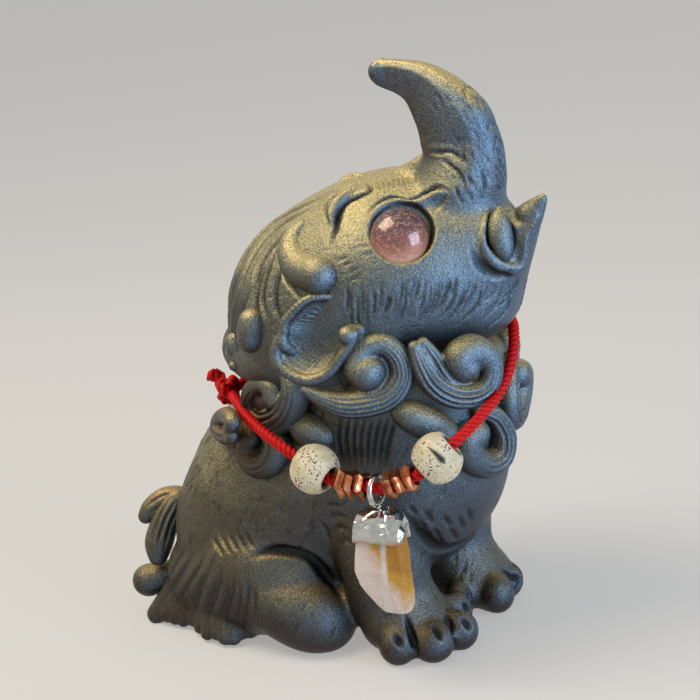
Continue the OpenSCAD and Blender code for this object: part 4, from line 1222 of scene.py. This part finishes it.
# %% [markdown]
# ## The eyes
# Each eye is a glass cabochon: a dome on a short straight edge, dark rose glass full of copper
# flecks under a clear polished skin. The glass is painted lighter towards its lower rim, as light
# gathered through the dome, and darker towards the top. It is turned on a lathe, that is, spun
# from its profile: a squashed sphere would have no edge to sit in the socket.

# %% Goldstone glass


def goldstone():
    made = new_material("rose_goldstone_glass")
    facing = node(made, "SeparateXYZ", Vector=node(made, "NewGeometry").outputs["Normal"]).outputs["Z"]
    # Painted light: the glass gets lighter on downward faces, as light gathered through the dome.
    depth = spread(made, add_share(made, cloud(made, 1.6, 3.0), 0.35, facing), -0.36, 1.15)
    rose = ramp(made, depth, [(0.02, "#e9c8bb"), (0.20, "#b98474"), (0.42, "#8a544a"), (0.68, "#5d3f42"),
                              (0.95, "#40343c")])
    fleck = node(made, "SeparateColor", Color=cells(made, 0.30)["Color"]).outputs[0]
    tint = blend(made, spread(made, fleck, 0.55, 1.0, 0.0, 0.55), rose, "#d79a80")
    return coated(made, Base_Color=tint, Metallic=0.2, Roughness=0.30, Coat_Weight=1.0, Coat_Roughness=0.02)


glass = goldstone()
print("eyes:", glass.name)

# %% Lathe helper


def rework(piece, *steps):
    """Runs steps of (operator, settings) on all of a piece in Edit Mode."""
    pick(piece)
    bpy.ops.object.mode_set(mode="EDIT")
    for step, settings in steps:
        bpy.ops.mesh.select_all(action="SELECT")
        step(**settings)
    bpy.ops.object.mode_set(mode="OBJECT")


OUTWARD = (bpy.ops.mesh.normals_make_consistent, {"inside": False})


def lathe(name, profile, steps, centre, axis, twist=0.0):
    """Spins a profile of (radius, height) about an axis through a centre."""
    edges = [(i, i + 1) for i in range(len(profile) - 1)]
    made = new_piece(name, [(r, 0, z) for r, z in profile], edges, [])
    spin = {"steps": steps, "angle": 2 * math.pi, "center": (0, 0, 0), "axis": (0, 0, 1)}
    rework(made, (bpy.ops.mesh.spin, spin), (bpy.ops.mesh.remove_doubles, {"threshold": 1e-4}), OUTWARD)
    aim = Vector(axis).to_track_quat("Z", "Y").to_matrix().to_4x4()
    made.data.transform(Matrix.Translation(Vector(centre)) @ aim @ Matrix.Rotation(twist, 4, "Z"))
    return made


# %% The two eyes
EYE_DOME = 2.4
EYE_EDGE = 1.6
ball_r = (EYE_R ** 2 + EYE_DOME ** 2) / (2 * EYE_DOME)
arc = np.linspace(0, math.asin(EYE_R / ball_r), 22)
eye_profile = [(0, -EYE_EDGE), (EYE_R - 0.2, -EYE_EDGE), (EYE_R, -EYE_EDGE + 0.2), (EYE_R, -0.1)]
eye_profile += [(ball_r * math.sin(a), EYE_DOME - ball_r + ball_r * math.cos(a)) for a in arc[::-1]]
eye_right = lathe("eye_right_glass", eye_profile, 64, EYE, EYE_WAY)
eye_left = left_twin(eye_right, "eye_left_glass")
finish(eye_right, glass, "cabochon_glass", "figure", "eye_right")
finish(eye_left, glass, "cabochon_glass", "figure", "eye_left")

# %% [markdown]
# ## Beads
# The two beads are matt cream ceramic with iron specks, rolled by hand, so they are a little
# uneven. The wide bore lets the cord show inside. The bore is painted dark as shade, and one
# streak of iron glaze is dark too. One lathe profile gives skin, lips and bore together, so
# nothing has to be cut.

# %% Speckled ceramic


def speckled_ceramic():
    made = new_material("speckled_stoneware")
    blot = cloud(made, 2.6, 2.0)
    base = ramp(made, blot, [(0.3, "#bfb795"), (0.55, "#d9d2b5"), (0.75, "#e9e4ce")])
    rusty = blend(made, spread(made, blot, 0.58, 0.74, 0.0, 0.45), base, "#a9824f")
    cover = add_share(made, blot, 0.42, cloud(made, 0.38, 1.0))
    specked = blend(made, ramp(made, cover, [(0.835, "#000000"), (0.875, "#ffffff")]), rusty, "#4a3424")
    # The painted shade of the bore and the dark iron-glaze streak.
    tint = blend(made, painted(made, "bore_shade_and_streak"), specked, "#191513")
    return coated(made, Base_Color=tint, Roughness=0.5, Normal=bump(made, cloud(made, 0.25, 2.0), 0.4, 0.06))


stoneware = speckled_ceramic()
print("beads:", stoneware.name)

# %% Two beads on the cord
BEAD_R = 4.0
BEAD_HALF = 3.1
BEAD_BORE = 1.8
INK_STREAK = [(428, 447), (435, 453), (442, 460)]
lip_angle = math.acos(BEAD_HALF / BEAD_R)
bead_profile = [(BEAD_BORE, -BEAD_HALF + 0.7), (BEAD_BORE + 0.15, -BEAD_HALF + 0.15),
                (BEAD_BORE + 0.4, -BEAD_HALF)]
bead_profile += [(BEAD_R * math.sin(a), -BEAD_R * math.cos(a))
                 for a in np.linspace(lip_angle + 0.06, math.pi / 2, 18)]
bead_profile += [(r, -z) for r, z in bead_profile[-2::-1]]
bead_profile += [bead_profile[0]]


def route_mid(i):
    """The middle of a stretch of the cord and its direction."""
    a, b = np.array(ROUTE[i]), np.array(ROUTE[i + 1])
    return (a + b) / 2, unit(b - a)


def knead(lump, amount, size, seed):
    """Makes a surface uneven by hand: a slow noise along the normals."""
    points, normals = read_skin(lump)
    push = [noise.noise(Vector(p / size) + Vector((seed, 0, 0))) for p in points]
    write_skin(lump, points + normals * (amount * np.array(push))[:, None])


for name, i, seed, streak in (("bead_rear", 5, 3.0, []), ("bead_front", 11, 8.0, INK_STREAK)):
    spot, way = route_mid(i)
    bead = lathe(name + "_ceramic", bead_profile, 104, spot, way)
    knead(bead, -0.10, 3.0, seed)
    points, _ = read_skin(bead)
    offset = points - spot
    radial = np.linalg.norm(offset - (offset @ way)[:, None] * way, axis=1)
    # The bore is painted dark as shade; the streak below is iron glaze.
    bore_shade_and_streak = np.clip((BEAD_BORE + 0.3 - radial) / 0.3, 0, 1)
    for k, blob in enumerate(seen(skin_tree(bead), streak, 1.0) if streak else []):
        bore_shade_and_streak = np.maximum(bore_shade_and_streak, np.clip(1.6 - np.linalg.norm(points - blob, axis=1) / (0.10 + 0.02 * k), 0, 1))
    paint(bead, "bore_shade_and_streak", bore_shade_and_streak)
    finish(bead, stoneware, "speckled_ceramic", name, name)

# %% [markdown]
# ## Copper chips
# Six small rough-cut copper chips hang three on each side of the ring. Each is a polygon with
# chamfered rims and uneven corners, flat-faced, so it glints. A lathe with only five or six
# steps makes the polygon, and its corners are then moved a little.

# %% Copper


def metal(name, blotch, stops, first, last):
    """A bare metal whose tint and roughness, from first to last, follow one noise."""
    made = new_material(name)
    wear = cloud(made, blotch, 3.0)
    return coated(made, Base_Color=ramp(made, wear, stops), Metallic=1.0,
                  Roughness=spread(made, wear, 0.3, 0.7, first, last))


copper = metal("worn_copper", 1.4, [(0.3, "#84452c"), (0.5, "#bf7750"), (0.72, "#e0aa84")], 0.42, 0.22)
print("chips:", copper.name)

# %% Six chips
CHIP_R = 2.5
CHIP_HALF = 0.76
CHIP_BORE = 1.45
CHIP_PITCH = 1.8
CHIP_TURN = math.radians(40)
CHIP_WEAR = 0.32
CHIP_WARP = 0.10
chip_profile = [(CHIP_BORE, -0.55), (CHIP_BORE + 0.1, -CHIP_HALF), (CHIP_R - 0.55, -CHIP_HALF),
                (CHIP_R, -0.2), (CHIP_R, 0.25), (CHIP_R - 0.5, CHIP_HALF), (CHIP_BORE + 0.1, CHIP_HALF),
                (CHIP_BORE, 0.55), (CHIP_BORE, -0.55)]
for n, (i, k, sides) in enumerate(((7, -1, 5), (7, 0, 6), (7, 1, 5), (9, -1, 6), (9, 0, 5), (9, 1, 6))):
    name = "chip_%d" % (n + 1)
    spot, way = route_mid(i)
    centre = spot + way * k * CHIP_PITCH
    chip = lathe(name + "_copper", chip_profile, sides, centre, way, CHIP_TURN * k)
    points, _ = read_skin(chip)
    for point in points:
        radial = point - centre - way * np.dot(point - centre, way)
        if np.linalg.norm(radial) > CHIP_BORE + 0.3:
            point -= unit(radial) * draw.uniform(0, CHIP_WEAR)
            point += way * draw.uniform(-CHIP_WARP, CHIP_WARP)
    write_skin(chip, points)
    finish(chip, copper, "copper", name, name)
    bpy.ops.object.shade_flat()

# %% [markdown]
# ## The pendant
# A silver wire ring carries a crystal point whose top is wrapped in plated foil, soldered in
# wrinkles. Copper shows along the foil's lower edge. The crystal is rough citrine: frosted
# rose-white on one face, clear amber on the other, with a white streak between. A cone would be
# too regular, so one uneven outline is stacked at many sizes for both.

# %% Plating and citrine


def plated_foil():
    made = new_material("plated_foil")
    wear = add_share(made, cloud(made, 2.0, 3.0), 0.5, painted(made, "bare"))
    tint = ramp(made, wear, [(0.2, "#c9ccc8"), (0.62, "#b9bab4"), (0.86, "#c08462"), (1.0, "#b4683f")])
    return coated(made, Base_Color=tint, Metallic=1.0, Roughness=0.22,
                  Normal=bump(made, cells(made, 2.6)["Distance"], 0.9, 0.8))


def rough_citrine():
    made = new_material("rough_citrine")
    haze = cloud(made, 2.4, 4.0)
    tint = ramp(made, add_share(made, haze, 0.55, painted(made, "amber")),
                [(0.30, "#f9efeb"), (0.58, "#f2e0d6"), (0.80, "#dba637"), (1.0, "#b97c12")])
    white_streak = spread(made, add_share(made, haze, painted(made, "white_streak"), 0.0), 0.06, 0.30)
    frost = cloud(made, 0.5, 3.0)
    return coated(made, Base_Color=blend(made, white_streak, tint, "#fbf7f6"), IOR=1.54, Transmission_Weight=0.35,
                  Roughness=spread(made, frost, 0.35, 0.65, 0.08, 0.40), Normal=bump(made, frost, 0.4, 0.12))


foil = plated_foil()
citrine = rough_citrine()
print("pendant:", foil.name, citrine.name)

# %% Ring with its stem
RING_AT, RING_WAY = route_mid(8)
RING_DROP = 0.5
RING_R = 2.25
WIRE_R = 0.45
CAP_TOP = -3.6
CAP_H = 6.0
silver = metal("silver_wire", 0.8, [(0.3, "#a9a8a2"), (0.7, "#dcdbd6")], 0.12, 0.30)
bpy.ops.object.select_all(action="DESELECT")
bpy.ops.mesh.primitive_torus_add(major_radius=RING_R, minor_radius=WIRE_R, major_segments=48,
                                 minor_segments=16)
ring = bpy.context.object
ring.name = "pendant_ring_silver"
aim = Vector(RING_WAY).to_track_quat("Z", "X").to_matrix().to_4x4()
ring.data.transform(Matrix.Translation(Vector(RING_AT - (0, 0, RING_DROP))) @ aim)
stem_profile = [(0, CAP_TOP - 0.6), (WIRE_R, CAP_TOP - 0.6), (WIRE_R * 0.95, -3.2), (WIRE_R * 0.9, -2.6),
                (0, -2.6)]
stem = lathe("stem", stem_profile, 16, RING_AT, (0, 0, 1))
pick(stem, ring)
bpy.ops.object.join()
finish(ring, silver, "silver_wire", "pendant", "pendant_ring")

# %% Stacked outlines for the cap and the crystal
OUTLINE = np.array([(-0.5, -0.22), (-0.34, -0.46), (0.16, -0.5), (0.5, -0.2), (0.46, 0.26), (0.1, 0.5),
                    (-0.38, 0.42)])
pend_y = -unit((RING_WAY[0], RING_WAY[1], 0))
pend_x = np.array((pend_y[1], -pend_y[0], 0))
print("pendant faces along", np.round(pend_x, 2))


def stacked(name, levels, jitter, split):
    """A closed skin through scaled copies of the outline: (height, thickness, width, slide)."""
    ahead = np.roll(OUTLINE, -1, axis=0)
    parts = np.arange(split)[:, None] / split
    corners = np.concatenate([a + (b - a) * parts for a, b in zip(OUTLINE, ahead)])
    skin = []
    for height, thick, wide, slide in levels:
        for x, y in corners:
            shake = np.array([draw.uniform(-jitter, jitter) for _ in range(3)])
            skin.append(RING_AT + pend_x * x * thick + pend_y * (y * wide + slide) + (0, 0, height) + shake)
    made = new_piece(name, skin, [], tube(len(levels), len(corners)))
    rework(made, OUTWARD)
    return made


# %% Cap
foot_z = CAP_TOP - CAP_H
rim_z = foot_z + 1.3
cap_levels = [(rim_z, 7.1, 9.0, 0.1), (rim_z + 1.1, 7.1, 8.8, 0), (rim_z + 2.2, 6.8, 8.4, 0.1),
              (rim_z + 3.3, 6.6, 8.1, 0), (rim_z + 4.1, 5.6, 6.9, 0.1), (rim_z + 4.6, 2.8, 3.4, 0)]
cap = stacked("pendant_cap_foil", cap_levels, 0.30, 3)
points, _ = read_skin(cap)
paint(cap, "bare", np.clip(1 - (points[:, 2] - RING_AT[2] - rim_z) / 1.0, 0, 1) * 0.6)
finish(cap, foil, "plated_cap", "pendant", "pendant_cap")
bpy.ops.object.shade_flat()

# %% Crystal
crystal_levels = [(foot_z + 2.9, 4.8, 6.9, 0), (foot_z + 1.0, 5.6, 8.2, 0.1), (foot_z - 1.0, 6.0, 8.7, 0.3),
                  (foot_z - 3.6, 6.2, 9.1, 0.5), (foot_z - 6.0, 5.8, 8.5, 0.2),
                  (foot_z - 8.2, 5.0, 7.3, -0.5), (foot_z - 9.8, 4.0, 5.8, -1.1),
                  (foot_z - 10.9, 2.8, 4.4, -1.4)]
crystal = stacked("crystal_citrine", crystal_levels, 0.12, 1)
round_off = crystal.modifiers.new("round_off", "BEVEL")
round_off.width = 0.12
round_off.segments = 2
round_off.angle_limit = math.radians(22)
bpy.ops.object.modifier_apply(modifier=round_off.name)
rework(crystal, (bpy.ops.mesh.subdivide, {"number_cuts": 4}))
knead(crystal, 0.06, 1.2, 5.0)
points, _ = read_skin(crystal)
place_y = (points - RING_AT) @ -pend_y
place_z = points[:, 2] - RING_AT[2] - foot_z
paint(crystal, "amber", np.clip(0.27 + 0.12 * place_y + 0.06 * (place_z + 4), 0, 0.75))
paint(crystal, "white_streak", np.exp(-((place_y - 1.3 - 0.05 * place_z) / 0.5) ** 2))
finish(crystal, citrine, "crystal_point", "pendant", "crystal")
bpy.ops.object.shade_flat()

# %% [markdown]
# ## What is sealed inside
# The wire and the foil core never show, but they get their metal too.

# %% Inner metal
inner_metal = metal("dull_aluminium", 1.0, [(0.3, "#8d8f91"), (0.7, "#b9bbbd")], 0.45, 0.45)
for name in ("armature_wire", "foil_core"):
    frame["nodes"][name].data.materials.clear()
    frame["nodes"][name].data.materials.append(inner_metal)
    print(name, "in", inner_metal.name)

# %% [markdown]
# ## Floor and light
# A pale seamless floor, one large warm soft box above and behind and a cooler one in front,
# as on a plain product table. The paper and the sky are paler in the picture and in mirrors than
# as lamps, so that the background stays light while the clay keeps its dark side.

# %% Floor
bpy.ops.object.select_all(action="DESELECT")
bpy.ops.mesh.primitive_plane_add(size=4)
floor = bpy.context.object
floor.name = "floor"


def shown_only(owner):
    """One for rays that show the background, in the picture, in metal or through glass."""
    path = node(owner, "LightPath").outputs
    shown = path["Is Camera Ray"]
    for kind in ("Is Glossy Ray", "Is Transmission Ray"):
        shown = node(owner, "Math", {"operation": "MAXIMUM"}, _0=shown, _1=path[kind]).outputs[0]
    return shown


paper = new_material("pale_paper")
matt = node(paper, "BsdfDiffuse", Color=colour("#dededc")).outputs[0]
glow = node(paper, "Emission", Color=colour("#d9d8d5"), Strength=1.0).outputs[0]
paper_mix = node(paper, "MixShader", _0=add_share(paper, shown_only(paper), 0.5, 0.0), _1=matt, _2=glow)
node(paper, "OutputMaterial", Surface=paper_mix.outputs[0])
floor.data.materials.append(paper)
print("floor:", paper.name)

# %% Soft light


def soft_box(name, place, target, size, power, tint):
    """A square soft light that looks at a target; lengths in millimetres."""
    lamp = bpy.data.objects.new(name, bpy.data.lights.new(name, "AREA"))
    lamp.data.size = size * MM
    lamp.data.energy = power
    lamp.data.color = colour(tint)[:3]
    aim = (Vector(target) - Vector(place)).to_track_quat("-Z", "Y")
    lamp.matrix_world = Matrix.Translation(Vector(place) * MM) @ aim.to_matrix().to_4x4()
    bpy.context.scene.collection.objects.link(lamp)


soft_box("top_light", (-150, 160, 420), (0, 0, 60), 260, 1.5, "#ffeacb")
soft_box("front_light", (-60, -430, 130), (0, 0, 50), 260, 1.3, "#d6e4ff")
world = bpy.data.worlds.new("studio")
bpy.context.scene.world = world
world.use_nodes = True
back = world.node_tree.nodes["Background"]
back.inputs["Color"].default_value = colour("#f2f2f3")
world.node_tree.links.new(spread(world, shown_only(world), 0.0, 1.0, 0.42, 0.62), back.inputs["Strength"])
bpy.context.scene.view_settings.view_transform = "Standard"
bpy.data.objects.remove(small_ball)
bpy.data.objects.remove(big_ball)
print("lamps:", [lamp.name for lamp in bpy.data.lights])
